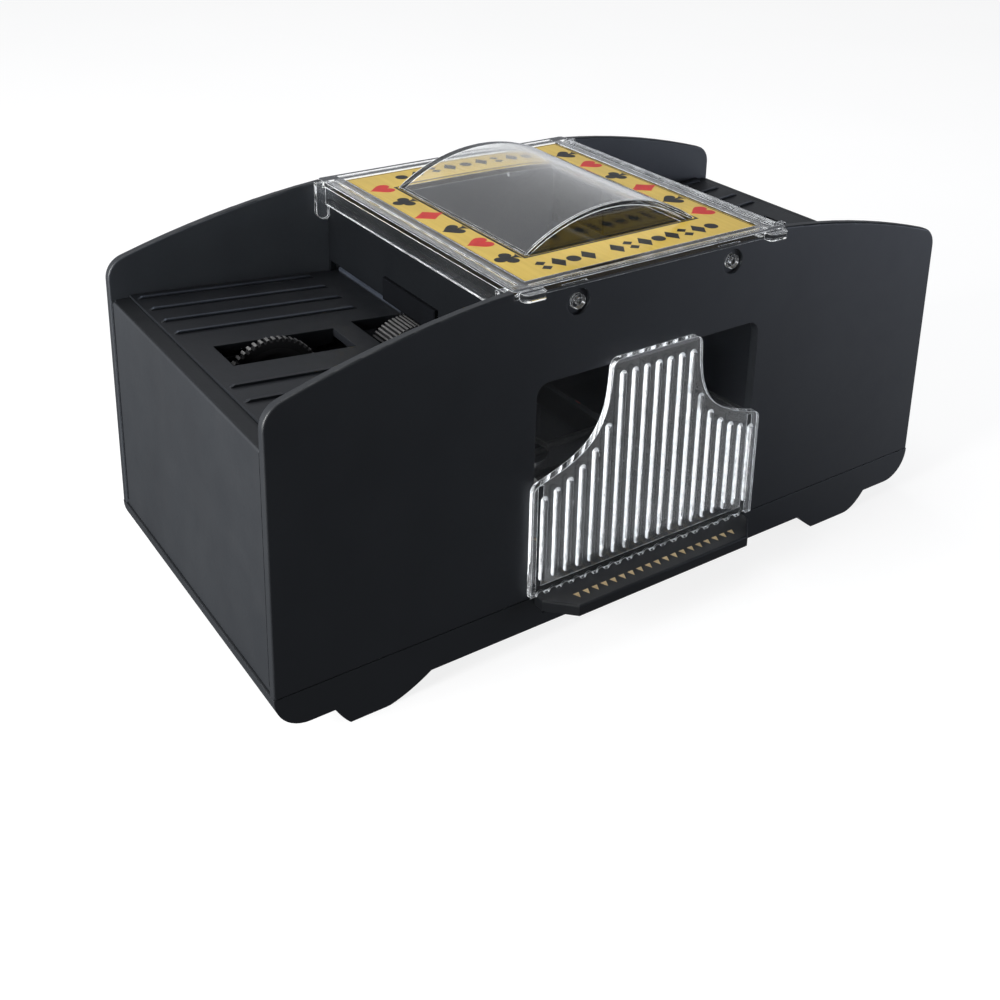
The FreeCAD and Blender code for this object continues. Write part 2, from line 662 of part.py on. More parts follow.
def make_drawer():
    rib_places = [(i - (RIB_COUNT - 1) / 2) * RIB_PITCH for i in range(RIB_COUNT)]
    drawer = drawer_panel()
    for x in rib_places:
        drawer = drawer.fuse(panel_rib(x))
    # row of small scallops along the lower edge
    for x in rib_places:
        drawer = drawer.cut(cyl("y", (x, 15.1), 1.25, PANEL_BACK - 3, PANEL_BACK - 0.5))

    # tray behind the panel: floor, sides, back
    front = PANEL_BACK - 0.5
    wall_z = RAIL_Z + 0.4
    drawer = drawer.fuse(box(-TRAY_X, TRAY_X, front, TRAY_BACK, TRAY_Z, TRAY_Z + TRAY_FLOOR_T))
    side_outline = [(front, wall_z), (TRAY_BACK, wall_z), (TRAY_BACK, TRAY_BACK_TOP),
                    (TRAY_BACK - 6, 40.0), (PANEL_BACK + 8, 45.0), (front, 45.0)]
    for side in SIGNS:
        x0, x1 = sorted((side * TRAY_X, side * (TRAY_X - TRAY_WALL)))
        drawer = drawer.fuse(prism_yz(side_outline, x0, x1))
    drawer = drawer.fuse(box(-TRAY_X, TRAY_X, TRAY_BACK - TRAY_WALL, TRAY_BACK,
                             wall_z, TRAY_BACK_TOP))
    # round hole in the tray floor
    drawer = drawer.cut(cyl("z", (0, 8.0), 9.0, 10, 20))
    return drawer.removeSplitter()


add("card_drawer", make_drawer())


# ---------------------------------------------------------------- press bar, spring and switch
BAR_X = 30.9             # half width of the lever
BAR_Z = (12.0, 14.2)
BAR_FRONT = -FACE_Y - 0.3
BARREL_R = 2.2
STUB_X = 33.3            # reach of the pivot stubs
LEDGE_X = 34.0           # half width of the ledge
LEDGE_TOP = 14.9
LEDGE_CHAMFER = 6.4
SPRING_TOP = 11.97
SPRING_R = 3.0           # radius of the coil's centreline
SPRING_WIRE = 0.5
SPRING_TURNS = 4.0
SPRING_STEPS = 8         # curve points per turn


def press_lever():
    bottom, top = BAR_Z
    plate = box(-BAR_X, BAR_X, BAR_FRONT, PIVOT_Y - 2.4, bottom, top)
    # window across the plate, bridged by a thinner strip over the switch
    plate = plate.cut(box(-24, 24, -30.0, -2.0, 11.0, 15.0))
    plate = plate.fuse(box(-17.0, -9.0, -30.5, -1.5, bottom, 13.6))
    barrel = cyl("x", (PIVOT_Y, PIVOT_Z), BARREL_R, -BAR_X, BAR_X)
    link = box(-BAR_X, BAR_X, PIVOT_Y - 3.0, PIVOT_Y, bottom, top)
    stubs = cyl("x", (PIVOT_Y, PIVOT_Z), SHAFT_R, -STUB_X, STUB_X)
    return fuse(plate, link, barrel, stubs)


def press_ledge():
    """Ledge in front of the drawer, its front corners cut off and its top edges soft."""
    shoulder_y = LEDGE_Y + LEDGE_CHAMFER
    nose_x = LEDGE_X - LEDGE_CHAMFER
    ledge = prism_xy([(-LEDGE_X, BAR_FRONT), (-LEDGE_X, shoulder_y), (-nose_x, LEDGE_Y),
                      (nose_x, LEDGE_Y), (LEDGE_X, shoulder_y), (LEDGE_X, BAR_FRONT)],
                     BAR_Z[0], LEDGE_TOP)

    def soft(edge):
        on_top = all(p.z > LEDGE_TOP - 0.1 for p in ends(edge))
        at_back = all(abs(p.y - BAR_FRONT) < 0.01 for p in ends(edge))
        return on_top and not at_back

    return fillet(ledge, 0.5, soft)


def make_spring():
    """Coil spring: an eight-sided wire swept along a smooth curve through points of the coil."""
    x, y = SPRING_XY
    wire_r = SPRING_WIRE / 2
    bottom = FLOOR_TOP + 0.02
    count = int(SPRING_TURNS * SPRING_STEPS)
    rise = SPRING_TOP - bottom - SPRING_WIRE
    points = []
    for i in range(count + 1):
        turn = 2 * math.pi * i / SPRING_STEPS
        points.append(Vec(x + SPRING_R * math.cos(turn), y + SPRING_R * math.sin(turn),
                          bottom + wire_r + rise * i / count))
    spine = Part.BSplineCurve()
    spine.interpolate(points)
    tangent = spine.tangent(spine.FirstParameter)[0]
    across = tangent.cross(Vec(0, 0, 1)).normalize()
    upward = tangent.cross(across).normalize()
    section = [points[0] + across * (wire_r * math.cos(math.pi * k / 4))
               + upward * (wire_r * math.sin(math.pi * k / 4)) for k in range(9)]
    return Part.Wire(spine.toShape()).makePipeShell([Part.makePolygon(section)], True, False)


def moving_contact():
    """Strip under the lever with a domed contact point."""
    dome = Part.makeSphere(0.8, Vec(-13.0, -21.0, 11.6)).common(
        box(-16, -10, -24, -18, 10, 11.7))
    return box(-15.5, -10.5, -28.0, -4.0, 11.6, 12.0).fuse(dome).removeSplitter()


def fixed_contact():
    """Angle strip: a blade on its block and a leg down to the floor."""
    top = CONTACT_Z + 0.4
    blade = box(-15.2, -10.8, -23.5, -17.6, CONTACT_Z, top)
    return blade.fuse(box(-15.2, -10.8, -18.0, -17.6, FLOOR_TOP, top)).removeSplitter()


add("press_bar", fuse(press_lever(), press_ledge()))
add("press_bar_spring", make_spring())
add("switch_moving_contact", moving_contact())
add("switch_fixed_contact", fixed_contact())


# ---------------------------------------------------------------- gear train layout (left)
MODULE = 0.6
PRESSURE_ANGLE = math.radians(25.0)
BACKLASH = 0.14
FLANK_STEPS = 5
FEED_TEETH = 24
THROW_TEETH = 14
TRANSFER_TEETH = 60
LARGE_TEETH = 48         # large wheel of the reduction gear
SMALL_TEETH = 12         # small wheel of the reduction gear
PINION_TEETH = 12
INNER_PLATE_Y = (13.0, 15.0)
OUTER_PLATE_Y = (27.0, 29.0)
BRACKET_Y = (-15.0, -13.0)
OUTER_PLANE = (20.6, 25.4)    # Y range of the transfer, feed and throw gears
INNER_PLANE = (15.6, 19.6)    # Y range of the large reduction wheel


def gear_distance(teeth_a, teeth_b):
    return MODULE * (teeth_a + teeth_b) / 2


def lower_meeting(a, radius_a, b, radius_b):
    """Lower of the two points where circles about a and b cross."""
    gap = math.hypot(b[0] - a[0], b[1] - a[1])
    reach = (radius_a ** 2 - radius_b ** 2 + gap ** 2) / (2 * gap)
    rise = math.sqrt(radius_a ** 2 - reach ** 2)
    ux, uz = (b[0] - a[0]) / gap, (b[1] - a[1]) / gap
    points = [(a[0] + ux * reach + sign * uz * rise, a[1] + uz * reach - sign * ux * rise)
              for sign in (1, -1)]
    return min(points, key=lambda point: point[1])


def polar(centre, radius, angle):
    return centre[0] + radius * math.cos(angle), centre[1] + radius * math.sin(angle)


def mesh_phase(a, teeth_a, phase_a, b, teeth_b):
    """Tooth angle in degrees of gear b so that it meshes with gear a."""
    bearing = math.degrees(math.atan2(b[1] - a[1], b[0] - a[0]))
    turn = (bearing - phase_a) * teeth_a / 360.0
    return bearing + 180.0 - (0.5 - turn) * 360.0 / teeth_b


TRANSFER = lower_meeting(FEED, gear_distance(FEED_TEETH, TRANSFER_TEETH),
                         THROW, gear_distance(THROW_TEETH, TRANSFER_TEETH))
REDUCTION = polar(TRANSFER, gear_distance(TRANSFER_TEETH, SMALL_TEETH), math.radians(188.0))
MOTOR = polar(REDUCTION, gear_distance(LARGE_TEETH, PINION_TEETH), math.radians(-30.0))

FEED_PHASE = 0.0
TRANSFER_PHASE = mesh_phase(FEED, FEED_TEETH, FEED_PHASE, TRANSFER, TRANSFER_TEETH)
THROW_PHASE = mesh_phase(TRANSFER, TRANSFER_TEETH, TRANSFER_PHASE, THROW, THROW_TEETH)
SMALL_PHASE = mesh_phase(TRANSFER, TRANSFER_TEETH, TRANSFER_PHASE, REDUCTION, SMALL_TEETH)
LARGE_PHASE = 0.0
PINION_PHASE = mesh_phase(REDUCTION, LARGE_TEETH, LARGE_PHASE, MOTOR, PINION_TEETH)


# ---------------------------------------------------------------- gears and shafts
def gear_wire(centre, teeth, phase, y):
    """Involute outline in the XZ plane: flanks as splines, tips and roots as arcs."""
    pitch_r = MODULE * teeth / 2
    base_r = pitch_r * math.cos(PRESSURE_ANGLE)
    tip_r = pitch_r + MODULE
    root_r = pitch_r - 1.25 * MODULE
    start_r = max(base_r, root_r)          # where the involute starts
    has_stem = start_r > root_r + 1e-6     # straight lines join the involute to the root

    def involute(radius):
        return math.sqrt(max((radius / base_r) ** 2 - 1, 0)) - math.acos(min(base_r / radius, 1))

    def point(radius, angle):
        x, z = polar(centre, radius, angle)
        return Vec(x, y, z)

    def spline(points):
        curve = Part.BSplineCurve()
        curve.interpolate(points)
        return curve.toShape()

    # half the angle a tooth would span on the base circle
    half = math.pi / (2 * teeth) - BACKLASH / (2 * pitch_r) / 2 + involute(pitch_r)
    radii = [start_r + (tip_r - start_r) * i / FLANK_STEPS for i in range(FLANK_STEPS + 1)]
    edges = []
    for k in range(teeth):
        middle = math.radians(phase) + 2 * math.pi * k / teeth
        following = middle + 2 * math.pi / teeth
        low = [point(r, middle - half + involute(r)) for r in radii]
        high = [point(r, middle + half - involute(r)) for r in reversed(radii)]
        root_start = high[-1]
        root_end = point(start_r, following - half + involute(start_r))
        if has_stem:
            root_start = point(root_r, middle + half)
            root_end = point(root_r, following - half)
            edges.append(Part.makeLine(point(root_r, middle - half), low[0]))
        edges.append(spline(low))
        edges.append(Part.Arc(low[-1], point(tip_r, middle), high[0]).toShape())
        edges.append(spline(high))
        if has_stem:
            edges.append(Part.makeLine(high[-1], root_start))
        root_mid = point(root_r, (middle + following) / 2)
        edges.append(Part.Arc(root_start, root_mid, root_end).toShape())
    return Part.Wire(edges)


def gear(centre, teeth, phase, y0, y1):
    return Part.Face(gear_wire(centre, teeth, phase, y0)).extrude(Vec(0, y1 - y0, 0))


def recess_faces(wheel, centre, inner_r, outer_r, y0, y1, depth):
    """Turns both faces of a wheel down to a thinner web between two radii."""
    for start, end in ((y0 - 1, y0 + depth), (y1 - depth, y1 + 1)):
        wheel = wheel.cut(ring_y(centre, outer_r, inner_r, start, end))
    return wheel


def wheel_shaft(centre):
    """Shaft with a snap groove near each end."""
    y0, y1 = -18.0, 31.5
    shaft = cyl("y", centre, SHAFT_R, y0, y1)
    for y in (y0 + 1.0, y1 - 1.6):
        shaft = shaft.cut(ring_y(centre, SHAFT_R + 1, SHAFT_R - 0.35, y, y + 0.6))
    return shaft


def collared_gear(centre, teeth, phase, collar_r):
    """Gear on a wheel shaft, with a collar on its inner side."""
    y0, y1 = OUTER_PLANE
    wheel = gear(centre, teeth, phase, y0, y1).cut(cyl("y", centre, SHAFT_R, y0 - 1, y1 + 1))
    return wheel.fuse(ring_y(centre, collar_r, SHAFT_R, y0 - 3.0, y0 + 0.5)).removeSplitter()


def transfer_gear():
    y0, y1 = OUTER_PLANE
    wheel = gear(TRANSFER, TRANSFER_TEETH, TRANSFER_PHASE, y0, y1)
    wheel = recess_faces(wheel, TRANSFER, 4.0, 15.0, y0, y1, depth=1.4)
    wheel = wheel.fuse(cyl("y", TRANSFER, 3.2, INNER_PLANE[0], y0 + 0.5))
    wheel = wheel.cut(cyl("y", TRANSFER, SHAFT_R + RUN, 10, 30))
    # six holes through the web
    for k in range(6):
        hole = polar(TRANSFER, 9.5, math.radians(60 * k + 20))
        wheel = wheel.cut(cyl("y", hole, 2.6, 10, 30))
    return wheel.removeSplitter()


def reduction_gear():
    y0, y1 = INNER_PLANE
    large = gear(REDUCTION, LARGE_TEETH, LARGE_PHASE, y0, y1)
    large = recess_faces(large, REDUCTION, 4.4, 12.0, y0, y1, depth=1.1)
    small = gear(REDUCTION, SMALL_TEETH, SMALL_PHASE, y1 - 0.01, OUTER_PLANE[1])
    both = large.fuse(small).cut(cyl("y", REDUCTION, SHAFT_R + RUN, 10, 30))
    return both.removeSplitter()


add_both("feed_shaft", wheel_shaft(FEED))
add_both("throw_shaft", wheel_shaft(THROW))
add_both("feed_gear", collared_gear(FEED, FEED_TEETH, FEED_PHASE, collar_r=3.2))
add_both("throw_gear", collared_gear(THROW, THROW_TEETH, THROW_PHASE, collar_r=2.8))
add_both("transfer_gear", transfer_gear())
add_both("reduction_gear", reduction_gear())
add_both("gear_pins", group(*[cyl("y", centre, SHAFT_R, INNER_PLATE_Y[0], OUTER_PLATE_Y[1])
                              for centre in (TRANSFER, REDUCTION)]))


# ---------------------------------------------------------------- motor
MOTOR_SHAFT_R = 1.0
MOTOR_FRONT = INNER_PLATE_Y[0]     # the can's gear side, against the inner plate
MOTOR_REAR = MOTOR_FRONT - 25.0
CAN_R = 10.0
CAN_HALF_H = 7.5                   # half height over the flats
MOTOR_BOSS_R = 3.0


def motor_pinion():
    y0, y1 = INNER_PLANE[0] + 0.3, INNER_PLANE[1] - 0.2
    pinion = gear(MOTOR, PINION_TEETH, PINION_PHASE, y0, y1)
    return pinion.cut(cyl("y", MOTOR, MOTOR_SHAFT_R, y0 - 1, y1 + 1))


def motor_can():
    """Flat-sided can with a boss at each end and two terminals at the rear."""
    x, z = MOTOR
    can = cyl("y", MOTOR, CAN_R, MOTOR_REAR, MOTOR_FRONT)
    can = can.common(box(x - 11, x + 11, MOTOR_REAR - 1, MOTOR_FRONT + 1,
                         z - CAN_HALF_H, z + CAN_HALF_H))
    can = fillet(can, 0.8, lambda edge: all(abs(p.y - MOTOR_REAR) < 1e-6 for p in ends(edge)))
    can = can.fuse(cyl("y", MOTOR, MOTOR_BOSS_R, MOTOR_FRONT - 1, MOTOR_FRONT + 1.6))
    can = can.fuse(cyl("y", MOTOR, MOTOR_BOSS_R, MOTOR_REAR - 1.4, MOTOR_REAR + 1))
    can = can.cut(cyl("y", MOTOR, MOTOR_SHAFT_R + RUN, MOTOR_REAR + 0.8, MOTOR_FRONT + 3))
    for side in SIGNS:
        middle = x + side * 6.0
        can = can.fuse(box(middle - 1.0, middle + 1.0, MOTOR_REAR - 3.0, MOTOR_REAR + 0.5,
                           z - 0.2, z + 0.2))
    return can.removeSplitter()


add_both("motor_pinion", motor_pinion())
add_both("motor_shaft", cyl("y", MOTOR, MOTOR_SHAFT_R, MOTOR_REAR + 1, INNER_PLANE[1] - 0.1))
add_both("motor_can", motor_can())


# ---------------------------------------------------------------- gearbox plates and screws
PLATE_TOP = 64.0         # top of the plates, against the bosses
TAB_Z = 62.0             # underside of the tabs under the bosses
TAB_HALF = 3.4
COLUMN = (-93.6, 59.5)   # spacer column between the plates (X, Z)
COLUMN_R = 2.4
# Plate outlines: X, Z
INNER_OUTLINE = [(-96.5, PLATE_TOP), (-39.4, PLATE_TOP), (-39.4, 53.0), (-47.0, 30.0),
                 (-53.0, 25.0), (-78.0, 25.0), (-90.0, 31.0), (-96.5, 45.0)]
OUTER_OUTLINE = [(-96.5, PLATE_TOP), (-39.4, PLATE_TOP), (-39.4, 53.0), (-50.0, 36.0),
                 (-60.0, 33.0), (-84.0, 34.0), (-92.0, 38.0), (-96.5, 45.0)]
BRACKET_OUTLINE = [(-96.5, PLATE_TOP), (-39.4, PLATE_TOP), (-39.4, 56.0), (-48.0, 54.0),
                   (-74.0, 54.0), (-79.5, 53.0), (-90.0, 56.0), (-96.5, 58.0)]
WHEEL_BEARINGS = [(FEED, SHAFT_R + RUN), (THROW, SHAFT_R + RUN)]   # centre, radius
PIN_HOLES = [(TRANSFER, SHAFT_R), (REDUCTION, SHAFT_R)]


def tabbed_plate(outline, plate_y, tab_y):
    """Upright plate with a tab under each boss of its row."""
    plate = prism_xz(outline, *plate_y)
    for x in BOSS_X:
        plate = plate.fuse(box(x - TAB_HALF, x + TAB_HALF, *tab_y, TAB_Z, PLATE_TOP))
    return plate


def drilled(plate, plate_y, holes, boss_y):
    """Cuts the holes through the plate, then the screw holes through its tabs."""
    y0, y1 = plate_y
    for centre, radius in holes:
        plate = plate.cut(cyl("y", centre, radius, y0 - 1, y1 + 1))
    for x in BOSS_X:
        plate = plate.cut(cyl("z", (x, boss_y), 1.2, 60, 66))
    return plate.removeSplitter()


def inner_plate():
    tab_y = (INNER_BOSS_Y - 3.0, INNER_PLATE_Y[0] + 0.5)
    plate = tabbed_plate(INNER_OUTLINE, INNER_PLATE_Y, tab_y)
    holes = WHEEL_BEARINGS + [(MOTOR, MOTOR_BOSS_R + RUN)] + PIN_HOLES + [(COLUMN, 1.1)]
    return drilled(plate, INNER_PLATE_Y, holes, INNER_BOSS_Y)


def outer_plate():
    """Outer plate, with the spacer column that reaches the inner plate."""
    tab_y = (OUTER_PLATE_Y[1] - 0.5, OUTER_BOSS_Y + 3.0)
    plate = tabbed_plate(OUTER_OUTLINE, OUTER_PLATE_Y, tab_y)
    foot = INNER_PLATE_Y[1]
    plate = plate.fuse(cyl("y", COLUMN, COLUMN_R, foot, OUTER_PLATE_Y[0] + 0.5))
    plate = plate.cut(cyl("y", COLUMN, 0.9, foot - 1, foot + 8))
    return drilled(plate, OUTER_PLATE_Y, WHEEL_BEARINGS + PIN_HOLES, OUTER_BOSS_Y)


def bearing_bracket():
    tab_y = (BRACKET_BOSS_Y - 3.0, BRACKET_Y[0] + 0.5)
    plate = tabbed_plate(BRACKET_OUTLINE, BRACKET_Y, tab_y)
    return drilled(plate, BRACKET_Y, WHEEL_BEARINGS, BRACKET_BOSS_Y)


def gearbox_screws():
    """Slotted screws up into the bosses and a plain one into the spacer column."""
    head_r, thread_r = 1.9, 0.85
    screws = []
    for x, y in BOSSES:
        screw = cyl("z", (x, y), head_r, TAB_Z - 1.2, TAB_Z)
        screw = screw.fuse(cyl("z", (x, y), thread_r, TAB_Z - 0.1, 66.0))
        screw = screw.cut(box(x - 1.4, x + 1.4, y - 0.25, y + 0.25, 60.0, 61.4))
        screws.append(screw.removeSplitter())
    seat = INNER_PLATE_Y[0]
    screw = cyl("y", COLUMN, head_r, seat - 1.2, seat)
    screw = screw.fuse(cyl("y", COLUMN, thread_r, seat - 0.1, INNER_PLATE_Y[1] + 5.5))
    screws.append(screw.removeSplitter())
    return group(*screws, *[turned(screw) for screw in screws])


add_both("gearbox_inner_plate", inner_plate())
add_both("gearbox_outer_plate", outer_plate())
add_both("bearing_bracket", bearing_bracket())
add("gearbox_screws", gearbox_screws())


# ---------------------------------------------------------------- wheels
FEED_R = 13.1
FEED_HUB_R = 10.6
FEED_Y = (2.4, 4.4)      # the thin feed wheel, along Y
THROW_R = 10.6
THROW_HUB_R = 7.8
THROW_Y = (-5.9, 2.0)    # the broad throw wheel, along Y
HUB_RIM = 1.4
HUB_CORE_R = 3.2


def ribbed_tyre(centre, radius, depth, ribs, width_y, bore):
    """Tyre with straight ribs across the tread."""
    # one rib and groove: fraction of the pitch, radius
    profile = [(-0.19, radius), (0.19, radius), (0.31, radius - depth), (0.69, radius - depth)]
    pitch = 2 * math.pi / ribs
    points = [polar(centre, r, k * pitch + fraction * pitch)
              for k in range(ribs) for fraction, r in profile]
    y0, y1 = width_y
    return prism_xz(points, y0, y1).cut(cyl("y", centre, bore, y0 - 1, y1 + 1))


def wheel_hub(centre, radius, width_y, recess, boss_y, web_holes):
    """Wheel body with a recessed web on both faces and a boss on the shaft."""
    y0, y1 = width_y
    hub = cyl("y", centre, radius, y0, y1)
    hub = recess_faces(hub, centre, HUB_CORE_R, radius - HUB_RIM, y0, y1, recess)
    hole_reach = (radius - HUB_RIM + HUB_CORE_R) / 2
    for k in range(web_holes):
        hole = polar(centre, hole_reach, 2 * math.pi * k / web_holes)
        hub = hub.cut(cyl("y", hole, 1.5, y0 - 1, y1 + 1))
    hub = hub.fuse(cyl("y", centre, 2.9, *boss_y))
    bore = cyl("y", centre, SHAFT_R, boss_y[0] - 5, boss_y[1] + 5)
    return hub.cut(bore).removeSplitter()


add_both("feed_tyre", ribbed_tyre(FEED, FEED_R, depth=0.75, ribs=50, width_y=FEED_Y,
                                  bore=FEED_HUB_R))
add_both("feed_hub", wheel_hub(FEED, FEED_HUB_R, FEED_Y, recess=0.4, boss_y=(-4.5, 9.0),
                               web_holes=5))
add_both("throw_tyre", ribbed_tyre(THROW, THROW_R, depth=0.55, ribs=60, width_y=THROW_Y,
                                   bore=THROW_HUB_R))
add_both("throw_hub", wheel_hub(THROW, THROW_HUB_R, THROW_Y, recess=2.2, boss_y=(-8.4, 6.0),
                                web_holes=0))


# ---------------------------------------------------------------- batteries, contacts, doors
CELLS = [(-88.0, -1), (-72.0, 1)]      # X of the cell, sign of Y at its positive end
CELL_Z = 14.3
CELL_R = 7.25
CELL_END = 24.4          # half length of the cell body
CELL_TIP = 25.6          # reach of the positive cap
CONTACT_Y = 28.7         # back of the contact plates
# Bent leaf between a plate and the cell's flat end: distance from the middle, Z
LEAF = [(28.35, 19.6), (28.35, 19.0), (24.8, 14.8), (24.8, 13.6),
        (27.6, 9.5), (27.2, 9.3), (24.4, 13.4), (24.4, 15.0)]
DOOR_GAP = 0.2


def aa_cell(x, pole):
    body = cyl("y", (x, CELL_Z), CELL_R, -CELL_END, CELL_END)
    body = fillet(body, 0.7, lambda edge: all(abs(abs(p.y) - CELL_END) < 1e-6
                                              for p in ends(edge)))
    cap = cyl("y", (x, CELL_Z), 2.7, pole * (CELL_END - 0.1), pole * CELL_TIP)
    return body.fuse(cap).removeSplitter()


def cell_contacts(x, pole):
    """Plate with a block at the positive end, plate with a bent leaf at the other."""
    def plate(sign):
        return box(x - 5, x + 5, sign * CONTACT_Y, sign * (CONTACT_Y - 0.4), 8.5, 20.5)

    block = box(x - 2.5, x + 2.5, pole * (CONTACT_Y - 0.2), pole * CELL_TIP,
                CELL_Z - 2.0, CELL_Z + 2.0)
    leaf = prism_yz([(-pole * y, z) for y, z in LEAF], x - 2.5, x + 2.5)
    return [plate(pole).fuse(block).removeSplitter(), plate(-pole).fuse(leaf).removeSplitter()]


def battery_door():
    x0, x1, y0, y1 = BAY
    inset = BAY_WALL + DOOR_GAP
    door = box(x0 + inset, x1 - inset, y0 + inset, y1 - inset, Z_FLOOR, Z_FLOOR + 1.5)
    # grip grooves near the front end
    for k in range(5):
        y = -24.0 + 2.0 * k
        door = door.cut(box(-86.0, -74.0, y, y + 1.0, Z_FLOOR - 1, Z_FLOOR + 0.5))
    # one wide tongue at the front end, two short ones at the rear
    door = door.fuse(box(-84.0, -76.0, -28.1, -27.2, Z_FLOOR + 1.0, Z_FLOOR + 4.5))
    for side in SIGNS:
        x = -80.0 + side * 9
        door = door.fuse(box(x - 1.5, x + 1.5, 27.2, 28.1, Z_FLOOR + 1.0, Z_FLOOR + 3.0))
    return door.removeSplitter()


add_both("aa_cells", group(*[aa_cell(x, pole) for x, pole in CELLS]))
add_both("battery_contacts", group(*[part for x, pole in CELLS
                                     for part in cell_contacts(x, pole)]))
add_both("battery_door", battery_door())


# ---------------------------------------------------------------- wiring
WIRE_R = 0.6
# Corners of the wires at the left end: X, Y, Z
BATTERY_WIRE = [(-66.0, -31.2, 25.0), (-60.0, -36.0, 25.0), (-55.0, -38.0, 22.0),
                (-50.0, -38.0, 12.0), (-46.0, -33.0, 9.0), (-36.0, -33.0, 9.0)]
MOTOR_WIRE = [(-57.5, -15.6, 32.3), (-55.2, -22.0, 31.0), (-51.8, -34.0, 27.0),
              (-49.0, -36.0, 13.5), (-45.0, -30.5, 10.8), (-36.0, -30.5, 10.8)]


def wire_run(corners):
    """Round wire of straight lengths with a ball at each bend."""
    pieces = []
    for start, end in zip(corners, corners[1:]):
        start, end = Vec(*start), Vec(*end)
        run = end - start
        pieces.append(Part.makeCylinder(WIRE_R, run.Length, start, run))
        pieces.append(Part.makeSphere(WIRE_R, end))
    # the last ball would stand at the free end
    return fuse(*pieces[:-1])


wires = [wire_run(BATTERY_WIRE), wire_run(MOTOR_WIRE)]
add("wiring", group(*wires, *[turned(wire) for wire in wires]))


# ---------------------------------------------------------------- export
os.makedirs("parts", exist_ok=True)
for name, shape in NODES.items():
    placed = shape.copy()
    placed.translate(Vec(0, SHIFT_Y, 0))
    placed.exportStep("parts/%s.step" % name)
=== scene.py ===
import math
import bpy
import bmesh
from mathutils import Vector, Matrix


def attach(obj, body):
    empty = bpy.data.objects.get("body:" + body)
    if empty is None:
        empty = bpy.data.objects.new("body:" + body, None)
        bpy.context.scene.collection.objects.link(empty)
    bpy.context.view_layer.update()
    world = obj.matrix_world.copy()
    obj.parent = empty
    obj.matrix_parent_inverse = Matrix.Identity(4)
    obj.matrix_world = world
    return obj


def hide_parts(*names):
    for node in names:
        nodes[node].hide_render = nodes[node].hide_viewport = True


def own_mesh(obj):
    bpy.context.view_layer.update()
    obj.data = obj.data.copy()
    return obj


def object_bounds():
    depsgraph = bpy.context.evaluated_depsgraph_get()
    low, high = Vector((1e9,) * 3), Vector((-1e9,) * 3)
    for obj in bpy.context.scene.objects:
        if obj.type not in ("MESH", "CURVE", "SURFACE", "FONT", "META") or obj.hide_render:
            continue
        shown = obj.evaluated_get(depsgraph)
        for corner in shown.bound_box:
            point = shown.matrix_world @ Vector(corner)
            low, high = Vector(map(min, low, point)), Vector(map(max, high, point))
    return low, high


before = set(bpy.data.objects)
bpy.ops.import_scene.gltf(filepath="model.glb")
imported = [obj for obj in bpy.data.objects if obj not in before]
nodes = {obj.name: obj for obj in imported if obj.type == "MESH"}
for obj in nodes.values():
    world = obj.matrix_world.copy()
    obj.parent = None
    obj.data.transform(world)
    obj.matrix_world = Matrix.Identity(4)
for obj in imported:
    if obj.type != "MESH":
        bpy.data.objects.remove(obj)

CAD_LO, CAD_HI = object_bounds()

# The drawing's Y axis has its zero at the middle of the housing; the frame's is 3.75 mm further on.
SHIFT = 3.75


def P(x, y, z):
    """A point of the drawing, in mm, as a point of the frame, in metres."""
    return Vector((x / 1000.0, (y + SHIFT) / 1000.0, z / 1000.0))


scene = bpy.context.scene


# ------------------------------------------------------------------ material helpers
class Mat:
    def __init__(self, name):
        self.m = bpy.data.materials.new(name)
        self.m.use_nodes = True
        self.t = self.m.node_tree
        self.t.nodes.clear()
        self.out = self.n("ShaderNodeOutputMaterial")

    def n(self, kind, **props):
        node = self.t.nodes.new(kind)
        for k, v in props.items():
            setattr(node, k, v)
        return node

    def link(self, a, b):
        self.t.links.new(a, b)

    def value(self, sock, v):
        sock.default_value = v

    def coords(self, scale=1.0):
        tc = self.n("ShaderNodeTexCoord")
        mp = self.n("ShaderNodeMapping")
        s = scale if isinstance(scale, tuple) else (scale,) * 3
        mp.inputs["Scale"].default_value = s
        self.link(tc.outputs["Object"], mp.inputs["Vector"])
        return mp.outputs["Vector"]

    def noise(self, scale, detail=2.0, rough=0.5, vec=None):
        nz = self.n("ShaderNodeTexNoise")
        nz.inputs["Scale"].default_value = scale
        nz.inputs["Detail"].default_value = detail
        nz.inputs["Roughness"].default_value = rough
        self.link(vec if vec is not None else self.coords(), nz.inputs["Vector"])
        return nz.outputs["Fac"]

    def ramp(self, fac, stops):
        r = self.n("ShaderNodeValToRGB")
        el = r.color_ramp.elements
        while len(el) > len(stops):
            el.remove(el[-1])
        while len(el) < len(stops):
            el.new(1.0)
        for e, (p, c) in zip(el, stops):
            e.position = p
            e.color = c if len(c) == 4 else (*c, 1.0)
        self.link(fac, r.inputs["Fac"])
        return r.outputs["Color"]

    def maprange(self, fac, a, b, c, d):
        r = self.n("ShaderNodeMapRange")
        r.inputs["From Min"].default_value = a
        r.inputs["From Max"].default_value = b
        r.inputs["To Min"].default_value = c
        r.inputs["To Max"].default_value = d
        self.link(fac, r.inputs["Value"])
        return r.outputs["Result"]

    def math(self, op, a, b=None):
        r = self.n("ShaderNodeMath", operation=op)
        for i, v in enumerate((a, b)):
            if v is None:
                continue
            if isinstance(v, (int, float)):
                r.inputs[i].default_value = v
            else:
                self.link(v, r.inputs[i])
        return r.outputs[0]

    def bump(self, height, strength, dist, normal=None):
        b = self.n("ShaderNodeBump")
        b.inputs["Strength"].default_value = strength
        b.inputs["Distance"].default_value = dist
        self.link(height, b.inputs["Height"])
        if normal is not None:
            self.link(normal, b.inputs["Normal"])
        return b.outputs["Normal"]

    def bevel(self, radius, samples=4):
        b = self.n("ShaderNodeBevel", samples=samples)
        b.inputs["Radius"].default_value = radius
        return b.outputs["Normal"]


